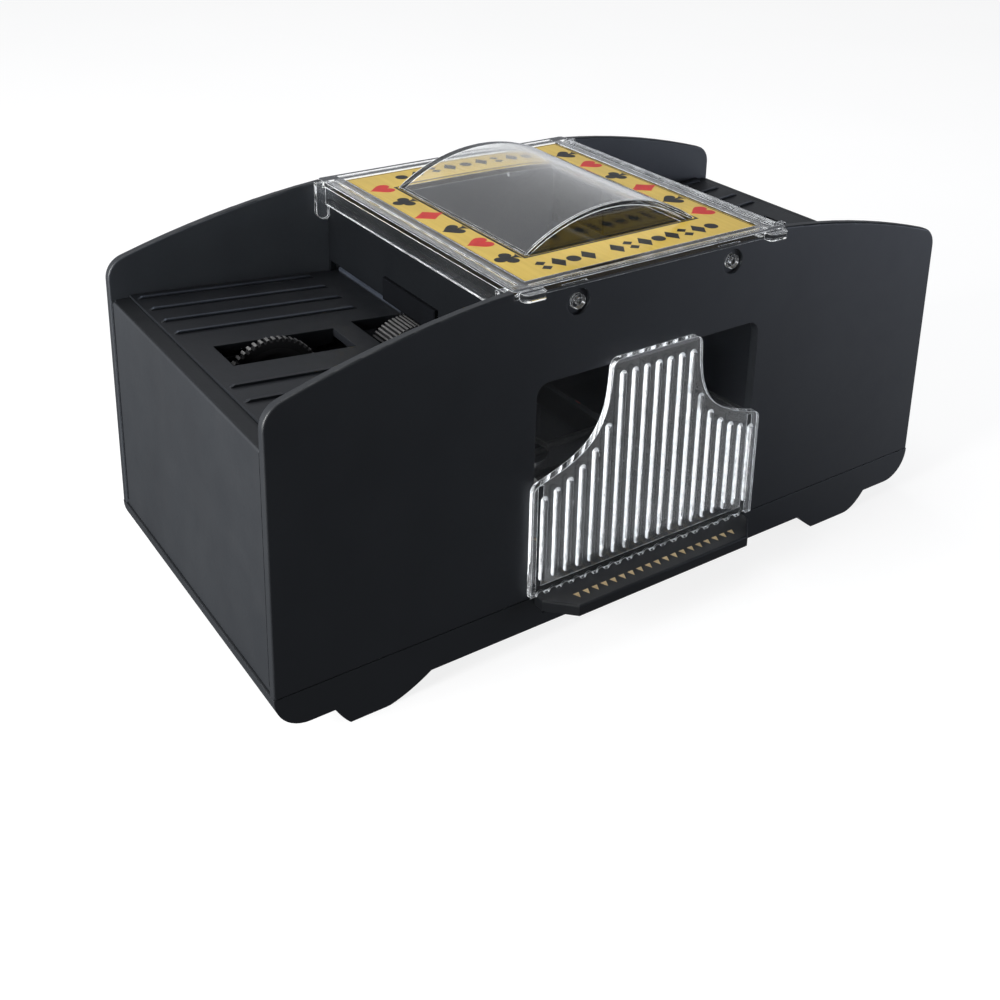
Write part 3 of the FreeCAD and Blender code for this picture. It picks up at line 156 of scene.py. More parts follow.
def plastic(name, dark, light, rough, grain=2600.0, grain_h=0.00002, bump=0.35, spec=0.4, blotch=28.0, bevel=0.00035, coat=0.0, tone=None):
    """Moulded plastic: fine spark-eroded grain, slow tone drift, slight polish on edges."""
    M = Mat(name)
    p = M.n("ShaderNodeBsdfPrincipled")
    base = M.noise(blotch, 3.0, 0.55)
    fine = M.noise(grain, 2.0, 0.6)
    mix = M.math("ADD", M.math("MULTIPLY", base, 0.75), M.math("MULTIPLY", fine, 0.25))
    col = M.ramp(mix, [(0.30, dark), (0.70, light)])
    # tone, when given, is a gain on the colour that paints light and shade in; where it darkens, the reflection is cut
    # with it
    if tone is not None:
        gain = tone(M)
        sc = M.n("ShaderNodeVectorMath", operation="SCALE")
        M.link(col, sc.inputs[0])
        M.link(gain, sc.inputs["Scale"])
        col = sc.outputs["Vector"]
        M.link(M.math("MULTIPLY", M.math("MINIMUM", gain, 1.0), spec), p.inputs["Specular IOR Level"])
    else:
        p.inputs["Specular IOR Level"].default_value = spec
    M.link(col, p.inputs["Base Color"])
    M.link(M.maprange(M.noise(blotch * 3.1, 4.0, 0.6), 0.3, 0.7, rough - 0.05, rough + 0.06), p.inputs["Roughness"])
    nrm = M.bevel(bevel) if bevel else None
    M.link(M.bump(fine, bump, grain_h, nrm), p.inputs["Normal"])
    if coat:
        p.inputs["Coat Weight"].default_value = coat
        p.inputs["Coat Roughness"].default_value = 0.2
    M.link(p.outputs["BSDF"], M.out.inputs["Surface"])
    return M.m


def rubber(name, dark, light, rough=0.7, spec=0.35):
    M = Mat(name)
    p = M.n("ShaderNodeBsdfPrincipled")
    n1 = M.noise(160.0, 4.0, 0.6)
    M.link(M.ramp(n1, [(0.3, dark), (0.75, light)]), p.inputs["Base Color"])
    M.link(M.maprange(n1, 0.3, 0.7, rough - 0.08, rough + 0.1), p.inputs["Roughness"])
    M.link(M.bump(M.noise(3000.0, 3.0, 0.6), 0.5, 0.00003), p.inputs["Normal"])
    p.inputs["Specular IOR Level"].default_value = spec
    M.link(p.outputs["BSDF"], M.out.inputs["Surface"])
    return M.m


def metal(name, dark, light, rough, stretch=(60.0, 3000.0, 60.0), bump=0.15):
    """Drawn or rolled metal with fine lines along one axis."""
    M = Mat(name)
    p = M.n("ShaderNodeBsdfPrincipled")
    vec = M.coords(stretch)
    lines = M.noise(1.0, 3.0, 0.6, vec)
    M.link(M.ramp(lines, [(0.3, dark), (0.7, light)]), p.inputs["Base Color"])
    M.link(M.maprange(lines, 0.3, 0.7, rough - 0.06, rough + 0.1), p.inputs["Roughness"])
    p.inputs["Metallic"].default_value = 1.0
    M.link(M.bump(lines, bump, 0.00001), p.inputs["Normal"])
    M.link(p.outputs["BSDF"], M.out.inputs["Surface"])
    return M.m


def clear(name, tint, rough=0.02, ior=1.52, haze=0.004, seed=0.0, edge_r=0.00022, painted_highlight_gain=None, rib_highlight_fn=None):
    """Clear moulded polystyrene: refracting body, faint flow haze, and a painted highlight along corners and edges, a
    near-white layer that also glows by itself.
    """
    M = Mat(name)
    p = M.n("ShaderNodeBsdfPrincipled")
    flow = M.noise(45.0 + seed, 3.0, 0.5)
    M.link(M.ramp(flow, [(0.3, tint), (0.7, tuple(min(1.0, c * 1.03) for c in tint))]), p.inputs["Base Color"])
    M.link(M.maprange(flow, 0.3, 0.7, max(0.0, rough - 0.015), rough + 0.03), p.inputs["Roughness"])
    p.inputs["IOR"].default_value = ior
    p.inputs["Transmission Weight"].default_value = 1.0
    M.link(M.bump(M.noise(220.0, 2.0, 0.5), 0.06, 0.00006), p.inputs["Normal"])
    # how far the rounded-off normal leaves the flat one: high only near a corner, where the painted highlight goes
    bnode = M.n("ShaderNodeBevel", samples=6)
    if callable(edge_r):
        M.link(edge_r(M), bnode.inputs["Radius"])
    else:
        bnode.inputs["Radius"].default_value = edge_r
    bev = bnode.outputs["Normal"]
    geo = M.n("ShaderNodeNewGeometry")
    dot = M.n("ShaderNodeVectorMath", operation="DOT_PRODUCT")
    M.link(bev, dot.inputs[0])
    M.link(geo.outputs["True Normal"], dot.inputs[1])
    edge = M.maprange(dot.outputs["Value"], 0.97, 0.86, 0.0, 1.0)
    streak = M.maprange(M.noise(260.0 + seed, 4.0, 0.7), 0.40, 0.62, 0.35, 1.0)
    mask = M.math("MULTIPLY", edge, streak)
    if painted_highlight_gain is not None:
        mask = M.math("MULTIPLY", mask, painted_highlight_gain(M))
    # the painted rib highlight joins the painted edge highlight
    if rib_highlight_fn is not None:
        mask = M.math("MAXIMUM", mask, rib_highlight_fn(M, geo))
    # painted highlight: near-white diffuse plus a faint glow of its own; the flow haze uses the same layer, very thinly
    d = M.n("ShaderNodeBsdfDiffuse")
    M.link(M.ramp(flow, [(0.3, (0.86, 0.89, 0.91)), (0.7, (0.95, 0.96, 0.97))]), d.inputs["Color"])
    glow = M.n("ShaderNodeEmission")
    glow.inputs["Color"].default_value = (0.93, 0.96, 1.0, 1)
    glow.inputs["Strength"].default_value = 0.16
    lit = M.n("ShaderNodeAddShader")
    M.link(d.outputs["BSDF"], lit.inputs[0])
    M.link(glow.outputs["Emission"], lit.inputs[1])
    hz = M.n("ShaderNodeMixShader")
    fac = M.math("MAXIMUM", M.maprange(M.noise(30.0, 4.0, 0.6), 0.35, 0.75, haze * 0.5, haze * 1.5), mask)
    M.link(M.math("MINIMUM", fac, 0.95), hz.inputs["Fac"])
    M.link(p.outputs["BSDF"], hz.inputs[1])
    M.link(lit.outputs["Shader"], hz.inputs[2])
    tr = M.n("ShaderNodeBsdfTransparent")
    tr.inputs["Color"].default_value = (0.93, 0.94, 0.95, 1)
    lp = M.n("ShaderNodeLightPath")
    mx = M.n("ShaderNodeMixShader")
    M.link(lp.outputs["Is Shadow Ray"], mx.inputs["Fac"])
    M.link(hz.outputs["Shader"], mx.inputs[1])
    M.link(tr.outputs["BSDF"], mx.inputs[2])
    M.link(mx.outputs["Shader"], M.out.inputs["Surface"])
    return M.m


def cover_edge_radius(M):
    """The painted edge highlight is drawn wider on the rim of the bowed dome over the window than on the flat flange.
    """
    tc = M.n("ShaderNodeTexCoord")
    o = M.n("ShaderNodeSeparateXYZ")
    M.link(tc.outputs["Object"], o.inputs["Vector"])
    return M.maprange(o.outputs["Z"], 0.0957, 0.0962, 0.00022, 0.00040)


def cover_painted_highlight_gain(M):
    """Painted edge highlight: cut down on the snap pegs in the walls, which keep only a thin ring of it, and strongly
    raised along the rim of the dome.
    """
    tc = M.n("ShaderNodeTexCoord")
    o = M.n("ShaderNodeSeparateXYZ")
    M.link(tc.outputs["Object"], o.inputs["Vector"])
    low = M.math("LESS_THAN", o.outputs["Z"], 0.0915)
    mid = M.math("LESS_THAN", M.math("ABSOLUTE", o.outputs["X"]), 0.0330)
    dome = M.maprange(o.outputs["Z"], 0.0957, 0.0962, 0.0, 1.6)
    return M.math("ADD", M.math("SUBTRACT", 1.0, M.math("MULTIPLY", M.math("MULTIPLY", low, mid), 0.62)), dome)


def drawer_painted_highlight_gain(M):
    """Painted edge highlight: full on the front panel's corners, a tenth of that on the tray behind it, and about half
    toward the bottom.
    """
    tc = M.n("ShaderNodeTexCoord")
    o = M.n("ShaderNodeSeparateXYZ")
    M.link(tc.outputs["Object"], o.inputs["Vector"])
    front = M.maprange(o.outputs["Y"], -0.0442, -0.0436, 1.0, 0.10)
    low = M.maprange(o.outputs["Z"], 0.0182, 0.0190, 0.55, 1.0)
    return M.math("MULTIPLY", front, low)


def rib_painted_highlight(M, geo):
    """Painted highlight on the drawer's front ribs: white streaks on their left flanks, fainter ones on the right
    flanks and the domed tops, and a faint one on the panel's narrow side faces, broken up by noise.
    """
    n = M.n("ShaderNodeSeparateXYZ")
    M.link(geo.outputs["Normal"], n.inputs["Vector"])
    tc = M.n("ShaderNodeTexCoord")
    o = M.n("ShaderNodeSeparateXYZ")
    M.link(tc.outputs["Object"], o.inputs["Vector"])
    left = M.maprange(n.outputs["X"], -0.50, -0.88, 0.0, 0.88)
    right = M.maprange(n.outputs["X"], 0.45, 0.85, 0.0, 0.30)
    dome = M.maprange(n.outputs["Z"], 0.30, 0.70, 0.0, 0.62)
    ribs = M.math("LESS_THAN", o.outputs["Y"], -0.04619)
    body = M.math("MULTIPLY", M.math("LESS_THAN", o.outputs["Y"], -0.04455), 0.20)
    patchy = M.maprange(M.noise(170.0, 4.0, 0.7), 0.36, 0.60, 0.35, 1.0)
    on_rib = M.math("MULTIPLY", M.math("MAXIMUM", M.math("MAXIMUM", left, right), dome), ribs)
    on_side = M.math("MULTIPLY", M.math("MAXIMUM", left, right), body)
    return M.math("MULTIPLY", M.math("MAXIMUM", on_rib, on_side), patchy)


def assign(material, *names):
    for n in names:
        o = nodes[n]
        o.data.materials.clear()
        o.data.materials.append(material)
        for poly in o.data.polygons:
            poly.material_index = 0


def both(name):
    return ("left_" + name, "right_" + name)


def painted_end_band_shade_rear_light(M):
    """Painted shade and light: the flat top of each end wall gets a darker colour and a weaker reflection; the inner
    face of the rear wall is painted paler.
    """
    tc = M.n("ShaderNodeTexCoord")
    o = M.n("ShaderNodeSeparateXYZ")
    M.link(tc.outputs["Object"], o.inputs["Vector"])
    geo = M.n("ShaderNodeNewGeometry")
    n = M.n("ShaderNodeSeparateXYZ")
    M.link(geo.outputs["Normal"], n.inputs["Vector"])
    x = M.math("ABSOLUTE", o.outputs["X"])
    # painted shade: colour and reflection cut to 0.58 on the flat top band of each end wall
    m = M.math("MULTIPLY", M.math("GREATER_THAN", x, 0.0975), M.math("LESS_THAN", x, 0.1023))
    m = M.math("MULTIPLY", m, M.math("GREATER_THAN", n.outputs["Z"], 0.8))
    m = M.math("MULTIPLY", m, M.math("LESS_THAN", M.math("ABSOLUTE", M.math("SUBTRACT", o.outputs["Y"], 0.00375)), 0.0456))
    # painted light: the inner face of the rear wall is drawn two and a half times paler
    rear_inner_light = M.math("MULTIPLY", M.math("LESS_THAN", n.outputs["Y"], -0.6), M.math("GREATER_THAN", o.outputs["Y"], 0.030))
    return M.math("ADD", M.math("SUBTRACT", 1.0, M.math("MULTIPLY", m, 0.42)), M.math("MULTIPLY", rear_inner_light, 1.5))


def painted_rear_crest_light(M):
    """Painted highlight: the rib crests are drawn up to five and a half times paler, most of all on the rear ribs, with
    a noise mottle; it stands in for the light falling on the rear ribs.
    """
    tc = M.n("ShaderNodeTexCoord")
    o = M.n("ShaderNodeSeparateXYZ")
    M.link(tc.outputs["Object"], o.inputs["Vector"])
    x = M.math("ABSOLUTE", o.outputs["X"])
    plane = M.math("ADD", M.math("MULTIPLY", x, math.tan(math.radians(5.0))), (73.7 - 97.4 * math.tan(math.radians(5.0))) / 1000.0)
    crest = M.maprange(M.math("SUBTRACT", o.outputs["Z"], plane), 0.00022, 0.00050, 0.0, 1.0)
    rear = M.maprange(o.outputs["Y"], 0.005, 0.015, 0.12, 1.0)
    crest_light_mottle = M.maprange(M.noise(90.0, 3.0, 0.6), 0.35, 0.65, 0.7, 1.0)
    # painted highlight: crest colour raised on the rear ribs, mottled by noise
    return M.math("ADD", 1.0, M.math("MULTIPLY", M.math("MULTIPLY", crest, rear), M.math("MULTIPLY", crest_light_mottle, 4.5)))


def tread(name, centre, r_land, land_highlight):
    """Rubber tyre whose lands are painted pale and made a little glossier, a painted highlight standing in for light on
    the tooth tops; roots and side faces stay black.
    """
    M = Mat(name)
    p = M.n("ShaderNodeBsdfPrincipled")
    geo = M.n("ShaderNodeNewGeometry")
    o = M.n("ShaderNodeSeparateXYZ")
    M.link(geo.outputs["Position"], o.inputs["Vector"])
    dx = M.math("SUBTRACT", M.math("ABSOLUTE", o.outputs["X"]), abs(centre[0]) / 1000.0)
    dz = M.math("SUBTRACT", o.outputs["Z"], centre[1] / 1000.0)
    rad = M.math("SQRT", M.math("ADD", M.math("MULTIPLY", dx, dx), M.math("MULTIPLY", dz, dz)))
    land = M.maprange(rad, (r_land - 0.22) / 1000.0, (r_land - 0.05) / 1000.0, 0.0, 1.0)
    nn = M.n("ShaderNodeSeparateXYZ")
    M.link(geo.outputs["Normal"], nn.inputs["Vector"])
    side = M.math("GREATER_THAN", M.math("ABSOLUTE", nn.outputs["Y"]), 0.7)
    land = M.math("MULTIPLY", land, M.math("SUBTRACT", 1.0, side))
    n1 = M.noise(420.0, 4.0, 0.65)
    amount = M.math("MULTIPLY", land, M.maprange(n1, 0.35, 0.6, 0.65, 1.0))
    # painted highlight: the lands ramp from black up to a pale grey
    M.link(M.ramp(amount, [(0.0, (0.006, 0.006, 0.007)), (1.0, (land_highlight, land_highlight * 0.99, land_highlight * 0.98))]), p.inputs["Base Color"])
    M.link(M.maprange(amount, 0.0, 1.0, 0.72, 0.5), p.inputs["Roughness"])
    M.link(M.bump(M.noise(3000.0, 3.0, 0.6), 0.4, 0.00002), p.inputs["Normal"])
    p.inputs["Specular IOR Level"].default_value = 0.3
    M.link(p.outputs["BSDF"], M.out.inputs["Surface"])
    return M.m


# ------------------------------------------------------------------ materials of the CAD nodes
HOUSING = plastic("housing_black", (0.0088, 0.0100, 0.0120), (0.0130, 0.0147, 0.0172), 0.46, spec=0.42, bevel=0.0002, tone=painted_end_band_shade_rear_light)
BASE = plastic("base_black", (0.0085, 0.0098, 0.0115), (0.0125, 0.0140, 0.0165), 0.48, spec=0.40)
DECK = plastic("deck_black", (0.0040, 0.0048, 0.0066), (0.0064, 0.0076, 0.0100), 0.44, spec=0.38, tone=painted_rear_crest_light)
# painted shade: the card gates get a much blacker, nearly unreflecting copy of the housing's black, for the shade of
# the well they stand in
GATE = plastic("gate_black", (0.0022, 0.0027, 0.0036), (0.0034, 0.0042, 0.0054), 0.62, spec=0.08)
BAR = plastic("press_bar_black", (0.0060, 0.0066, 0.0078), (0.0090, 0.0100, 0.0115), 0.36, spec=0.45, grain_h=0.00001)
HUB = plastic("hub_black", (0.012, 0.012, 0.013), (0.020, 0.020, 0.021), 0.4, bevel=0)
GREY = plastic("gearbox_grey", (0.055, 0.055, 0.060), (0.085, 0.085, 0.090), 0.5, bevel=0)
GEAR = plastic("gear_white", (0.60, 0.585, 0.54), (0.72, 0.705, 0.66), 0.38, bevel=0, spec=0.5)
# the last argument is the grey of the painted highlight on the lands
FEED_TYRE = tread("tyre_rubber_feed", (77.5, 60.0), 13.1, 0.11)
THROW_TYRE = tread("tyre_rubber_throw", (42.3, 60.9), 10.6, 0.075)
PAD = rubber("soft_rubber", (0.0016, 0.0019, 0.0026), (0.0026, 0.0030, 0.0040), 0.9, 0.05)
SCREW = metal("screw_steel", (0.36, 0.36, 0.37), (0.52, 0.52, 0.53), 0.32)
SHAFT = metal("shaft_steel", (0.50, 0.50, 0.50), (0.66, 0.66, 0.66), 0.2)
CAN = metal("motor_steel", (0.42, 0.42, 0.42), (0.60, 0.60, 0.59), 0.3, (3000.0, 60.0, 60.0))
SPRING = metal("spring_steel", (0.40, 0.40, 0.41), (0.56, 0.56, 0.57), 0.25)
COPPER = metal("contact_copper", (0.60, 0.36, 0.16), (0.76, 0.50, 0.26), 0.25)
NICKEL = metal("contact_nickel", (0.58, 0.58, 0.55), (0.74, 0.74, 0.70), 0.2)
WIRE = plastic("wire_red", (0.40, 0.012, 0.012), (0.52, 0.025, 0.020), 0.35, bevel=0, grain=900.0)
CELL = plastic("cell_wrap", (0.03, 0.08, 0.20), (0.05, 0.12, 0.28), 0.3, bevel=0, grain=600.0, coat=0.4)
COVER = clear("cover_clear", (0.965, 0.975, 0.98), 0.02, 1.52, 0.004, edge_r=cover_edge_radius, painted_highlight_gain=cover_painted_highlight_gain)
DRAWER = clear("drawer_clear", (0.93, 0.94, 0.95), 0.03, 1.52, 0.006, 9.0, edge_r=0.00030, painted_highlight_gain=drawer_painted_highlight_gain, rib_highlight_fn=rib_painted_highlight)


def gold_label():
    """Printed gold card: metallic ink with a slight roller streak under a clear gloss coat."""
    M = Mat("label_gold")
    p = M.n("ShaderNodeBsdfPrincipled")
    streak = M.noise(1.0, 3.0, 0.5, M.coords((900.0, 40.0, 40.0)))
    drift = M.noise(38.0, 3.0, 0.6)
    mix = M.math("ADD", M.math("MULTIPLY", streak, 0.45), M.math("MULTIPLY", drift, 0.55))
    M.link(M.ramp(mix, [(0.32, (0.54, 0.365, 0.042)), (0.52, (0.62, 0.425, 0.058)), (0.70, (0.68, 0.480, 0.080))]), p.inputs["Base Color"])
    M.link(M.maprange(drift, 0.3, 0.7, 0.34, 0.46), p.inputs["Roughness"])
    p.inputs["Metallic"].default_value = 0.0
    p.inputs["Specular IOR Level"].default_value = 0.3
    p.inputs["Coat Weight"].default_value = 0.35
    p.inputs["Coat Roughness"].default_value = 0.10
    M.link(M.bump(streak, 0.08, 0.00002), p.inputs["Normal"])
    M.link(p.outputs["BSDF"], M.out.inputs["Surface"])
    return M.m


GOLD = gold_label()


def ink(name, dark, light, rough=0.45, coat=0.05):
    M = Mat(name)
    p = M.n("ShaderNodeBsdfPrincipled")
    n1 = M.noise(420.0, 4.0, 0.65)
    M.link(M.ramp(n1, [(0.3, dark), (0.72, light)]), p.inputs["Base Color"])
    M.link(M.maprange(n1, 0.3, 0.7, rough - 0.05, rough + 0.08), p.inputs["Roughness"])
    p.inputs["Specular IOR Level"].default_value = 0.25
    p.inputs["Coat Weight"].default_value = coat
    p.inputs["Coat Roughness"].default_value = 0.10
    M.link(p.outputs["BSDF"], M.out.inputs["Surface"])
    return M.m


INK_BLACK = ink("ink_black", (0.006, 0.006, 0.006), (0.016, 0.015, 0.013))
INK_RED = ink("ink_red", (0.46, 0.020, 0.016), (0.60, 0.038, 0.030))
INK_GOLD = ink("ink_gold", (0.34, 0.25, 0.12), (0.50, 0.38, 0.20), 0.45, 0.1)

assign(HOUSING, "main_housing")
assign(BASE, "base_tray", *both("battery_door"))
assign(DECK, *both("tray_deck"))
assign(GATE, *both("card_gate"))
assign(PAD, "gate_pads")
assign(BAR, "press_bar")
assign(COVER, "clear_cover")
assign(DRAWER, "card_drawer")
assign(GOLD, "cover_label")
assign(SCREW, "base_screws", "gearbox_screws")
assign(SPRING, "press_bar_spring")
assign(COPPER, "switch_fixed_contact", "switch_moving_contact")
assign(WIRE, "wiring")
assign(GREY, *both("gearbox_inner_plate"), *both("gearbox_outer_plate"), *both("bearing_bracket"))
assign(CAN, *both("motor_can"))
assign(SHAFT, *both("gear_pins"), *both("motor_shaft"), *both("feed_shaft"), *both("throw_shaft"))
assign(GEAR, *both("motor_pinion"), *both("reduction_gear"), *both("transfer_gear"), *both("feed_gear"), *both("throw_gear"))
assign(HUB, *both("feed_hub"), *both("throw_hub"))
assign(FEED_TYRE, *both("feed_tyre"))
assign(THROW_TYRE, *both("throw_tyre"))
assign(NICKEL, *both("battery_contacts"))
assign(CELL, *both("aa_cells"))


# ------------------------------------------------------------------ printed marks, as thin raised ink
def slab(name, loops, z0, z1, material, body):
    """A closed flat solid from outlines in mm (X, Y). Each loop is one shape; a tuple (outer, inner) is a ring."""
    bm = bmesh.new()
    for lp in loops:
        if isinstance(lp, tuple):
            outer, inner = lp
            n = len(outer)
            o0 = [bm.verts.new(P(x, y, z0)) for x, y in outer]
            o1 = [bm.verts.new(P(x, y, z1)) for x, y in outer]
            i0 = [bm.verts.new(P(x, y, z0)) for x, y in inner]
            i1 = [bm.verts.new(P(x, y, z1)) for x, y in inner]
            for k in range(n):
                j = (k + 1) % n
                bm.faces.new((o1[k], o1[j], i1[j], i1[k]))
                bm.faces.new((o0[j], o0[k], i0[k], i0[j]))
                bm.faces.new((o0[k], o0[j], o1[j], o1[k]))
                bm.faces.new((i0[j], i0[k], i1[k], i1[j]))
            continue
        a = [bm.verts.new(P(x, y, z0)) for x, y in lp]
        b = [bm.verts.new(P(x, y, z1)) for x, y in lp]
        n = len(lp)
        bm.faces.new(b)
        bm.faces.new(list(reversed(a)))
        for k in range(n):
            j = (k + 1) % n
            bm.faces.new((a[k], a[j], b[j], b[k]))
    bmesh.ops.recalc_face_normals(bm, faces=bm.faces)
    bmesh.ops.triangulate(bm, faces=[f for f in bm.faces if len(f.verts) > 4])
    me = bpy.data.meshes.new(name)
    bm.to_mesh(me)
    bm.free()
    ob = bpy.data.objects.new(name, me)
    scene.collection.objects.link(ob)
    me.materials.append(material)
    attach(ob, body)
    return ob


def bez(p0, p1, p2, p3, n=8):
    out = []
    for i in range(n):
        t = i / n
        u = 1 - t
        out.append(tuple(u ** 3 * p0[k] + 3 * u * u * t * p1[k] + 3 * u * t * t * p2[k] + t ** 3 * p3[k] for k in range(2)))
    return out


# Suit shapes in a unit box; the pointed end of every suit is at +v.
def heart():
    pts = bez((0, 0.52), (-0.10, 0.30), (-0.52, 0.04), (-0.50, -0.20), 9)
    pts += bez((-0.50, -0.20), (-0.48, -0.52), (-0.10, -0.58), (0.0, -0.26), 9)
    return [pts + [(0.0, -0.26)] + [(-x, y) for x, y in reversed(pts[1:])]]


def diamond():
    return [[(0, -0.50), (0.22, -0.23), (0.45, 0), (0.22, 0.23), (0, 0.50), (-0.22, 0.23), (-0.45, 0), (-0.22, -0.23)]]


def stem():
    r = bez((0.045, -0.12), (0.06, -0.36), (0.12, -0.46), (0.26, -0.5), 6) + [(0.26, -0.5)]
    return r + [(-x, y) for x, y in reversed(r)]


def spade():
    pts = bez((0, 0.52), (0.08, 0.34), (0.52, 0.12), (0.49, -0.12), 9)
    pts += bez((0.49, -0.12), (0.46, -0.36), (0.14, -0.36), (0.05, -0.16), 8)
    left = [(-x, y) for x, y in reversed(pts[1:])]
    return [pts + [(0.05, -0.16), (-0.05, -0.16)] + left, stem()]


def club():
    out = []
    for (cx, cy) in ((0.0, 0.26), (-0.265, -0.09), (0.265, -0.09)):
        out.append([(cx + 0.240 * math.cos(2 * math.pi * k / 20), cy + 0.240 * math.sin(2 * math.pi * k / 20)) for k in range(20)])
    out.append([(0.14, 0.0), (0.0, 0.16), (-0.14, 0.0), (-0.10, -0.14), (0.10, -0.14)])
    out.append(stem())
    return out


SUITS = {"h": (heart, "r"), "d": (diamond, "r"), "c": (club, "k"), "s": (spade, "k")}
LABEL_Z = 95.1
red, black = [], []
# Two columns; every pointed end is toward the -X end of the housing. Each entry: suit, Y of its middle.
columns = {
    -31.1: (("h", 31.3), ("c", 18.9), ("d", 6.5), ("s", -5.7), ("h", -17.0), ("c", -29.0)),
    31.7: (("s", 32.2), ("h", 20.7), ("c", 8.3), ("d", -4.0), ("s", -16.0), ("h", -27.2)),
}
for cx, marks in columns.items():
    for s, cy in marks:
        shape, ink_name = SUITS[s]
        for lp in shape():
            pts = [(cx - v * (8.6 if s == "d" else 6.7), cy + u * (7.2 if s == "d" else 6.6)) for (u, v) in lp]
            (red if ink_name == "r" else black).append(pts)


def layered(name, loops, material):
    """Overlapping loops sit on slightly different levels, so that no faces coincide."""
    obs = []
    for i in range(5):
        sel = loops[i::5]
        if sel:
            obs.append(slab("%s_%d" % (name, i + 1), sel, LABEL_Z - 0.02, LABEL_Z + 0.02 + 0.004 * i, material, "root"))
    return obs


layered("label_suits_red", red, INK_RED)
layered("label_suits_black", black, INK_BLACK)


def rect(x0, x1, y0, y1):
    return [(x0, y0), (x1, y0), (x1, y1), (x0, y1)]


frames = [
    (rect(-35.75, 35.75, -43.1, 43.1), rect(-35.45, 35.45, -42.8, 42.8)),
    (rect(-27.45, 27.45, -31.15, 31.15), rect(-26.75, 26.75, -30.45, 30.45)),
]
slab("label_border_lines", frames, LABEL_Z - 0.02, LABEL_Z + 0.02, INK_BLACK, "root")


# A plain geometric band, front and rear: tall lozenges, pairs of small lozenges and dots.
def circle(x, y, rad, n=28):
    return [(x + rad * math.cos(2 * math.pi * k / n), y + rad * math.sin(2 * math.pi * k / n)) for k in range(n)]


def band_mark(kind, x, y, h):
    if kind == "L":
        return [[(x, y - h), (x + 2.0, y), (x, y + h), (x - 2.0, y)]]
    if kind == "S":
        return [[(x, q - h * 0.46), (x + 1.55, q), (x, q + h * 0.46), (x - 1.55, q)] for q in (y - h * 0.50, y + h * 0.50)]
    if kind == "D":
        return [circle(x, y, h * 0.62)]
    return []


band = []
for kinds, x0, pitch, y, h in (("SLDL LSLDLSLD", -26.2, 4.37, -37.1, 2.95), ("DLSLDLSLD", -21.0, 5.3, 37.9, 2.85)):
    for k, kind in enumerate(kinds):
        band += band_mark(kind, x0 + k * pitch, y, h)
slab("label_band", band, LABEL_Z - 0.02, LABEL_Z + 0.02, INK_BLACK, "root")

# Small down-pointing triangles on the press bar.
chev = []
n = 19
for k in range(n):
    xc = (k - (n - 1) / 2) * 2.82
    yc = -54.35
    w, h = 0.82, 1.9
    chev.append([(xc - w, yc + h / 2), (xc, yc - h / 2), (xc + w, yc + h / 2)])
slab("press_bar_marks", chev, 14.88, 14.93, INK_GOLD, "press_bar")


# ------------------------------------------------------------------ the press bar's return spring
def coil_spring(name, cx, cy, z0, z1, r, wire, turns, material):
    """Compression spring as a closed tube along a helix, its end coils closed up against the seats."""
    per, sides = 28, 10
    n = int(turns * per)
    h = z1 - z0 - wire

    def height(t):
        # end coils lie nearly flat, the middle ones are open
        return z0 + wire / 2 + h * (0.10 * t + 0.90 * (t * t * (3 - 2 * t)))

    centres = [Vector((cx + r * math.cos(2 * math.pi * i / per), cy + r * math.sin(2 * math.pi * i / per), height(i / n))) for i in range(n + 1)]
    bm = bmesh.new()
    rings = []
    for i, c in enumerate(centres):
        a = centres[max(i - 1, 0)]
        b = centres[min(i + 1, n)]
        t = (b - a).normalized()
        e1 = t.cross(Vector((0, 0, 1))).normalized()
        e2 = t.cross(e1).normalized()
        ring = []
        for k in range(sides):
            q = 2 * math.pi * k / sides
            v = c + e1 * (wire / 2 * math.cos(q)) + e2 * (wire / 2 * math.sin(q))
            ring.append(bm.verts.new(P(v.x, v.y, v.z)))
        rings.append(ring)
    for a, b in zip(rings, rings[1:]):
        for k in range(sides):
            j = (k + 1) % sides
            bm.faces.new((a[k], a[j], b[j], b[k]))
    bm.faces.new(list(reversed(rings[0])))
    bm.faces.new(rings[-1])
    bmesh.ops.recalc_face_normals(bm, faces=bm.faces)
    me = bpy.data.meshes.new(name)
    bm.to_mesh(me)
    bm.free()
    for poly in me.polygons:
        poly.use_smooth = len(poly.vertices) == 4
    ob = bpy.data.objects.new(name, me)
    scene.collection.objects.link(ob)
    me.materials.append(material)
    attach(ob, "root")
    return ob


spring = coil_spring("return_spring", 0.0, -38.0, 7.43, 11.94, 3.0, 0.5, 4.0, SPRING)
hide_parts("press_bar_spring")
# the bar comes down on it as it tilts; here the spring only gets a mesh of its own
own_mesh(spring)


# ------------------------------------------------------------------ smooth shading of curved CAD faces
for o in nodes.values():
    me = o.data
    for poly in me.polygons:
        poly.use_smooth = True
    if not me.has_custom_normals:
        try:
            me.set_sharp_from_angle(angle=math.radians(24))
        except Exception:
            pass

# ------------------------------------------------------------------ stage
me = bpy.data.meshes.new("floor")
bm = bmesh.new()
bmesh.ops.create_grid(bm, x_segments=8, y_segments=8, size=6.0)
bm.to_mesh(me)
bm.free()
floor = bpy.data.objects.new("floor", me)
floor.location = (0, 0, CAD_LO.z - 0.00002)
scene.collection.objects.link(floor)
M = Mat("floor_pale")
# What the camera sees: white paper with a soft shadow.
dif = M.n("ShaderNodeBsdfDiffuse")
M.link(M.ramp(M.noise(6.0, 3.0), [(0.3, (0.21, 0.21, 0.212)), (0.7, (0.225, 0.225, 0.226))]), dif.inputs["Color"])
white = M.n("ShaderNodeEmission")
white.inputs["Color"].default_value = (1, 1, 1, 1)
white.inputs["Strength"].default_value = 0.84
seen = M.n("ShaderNodeAddShader")
M.link(dif.outputs["BSDF"], seen.inputs[0])
M.link(white.outputs["Emission"], seen.inputs[1])
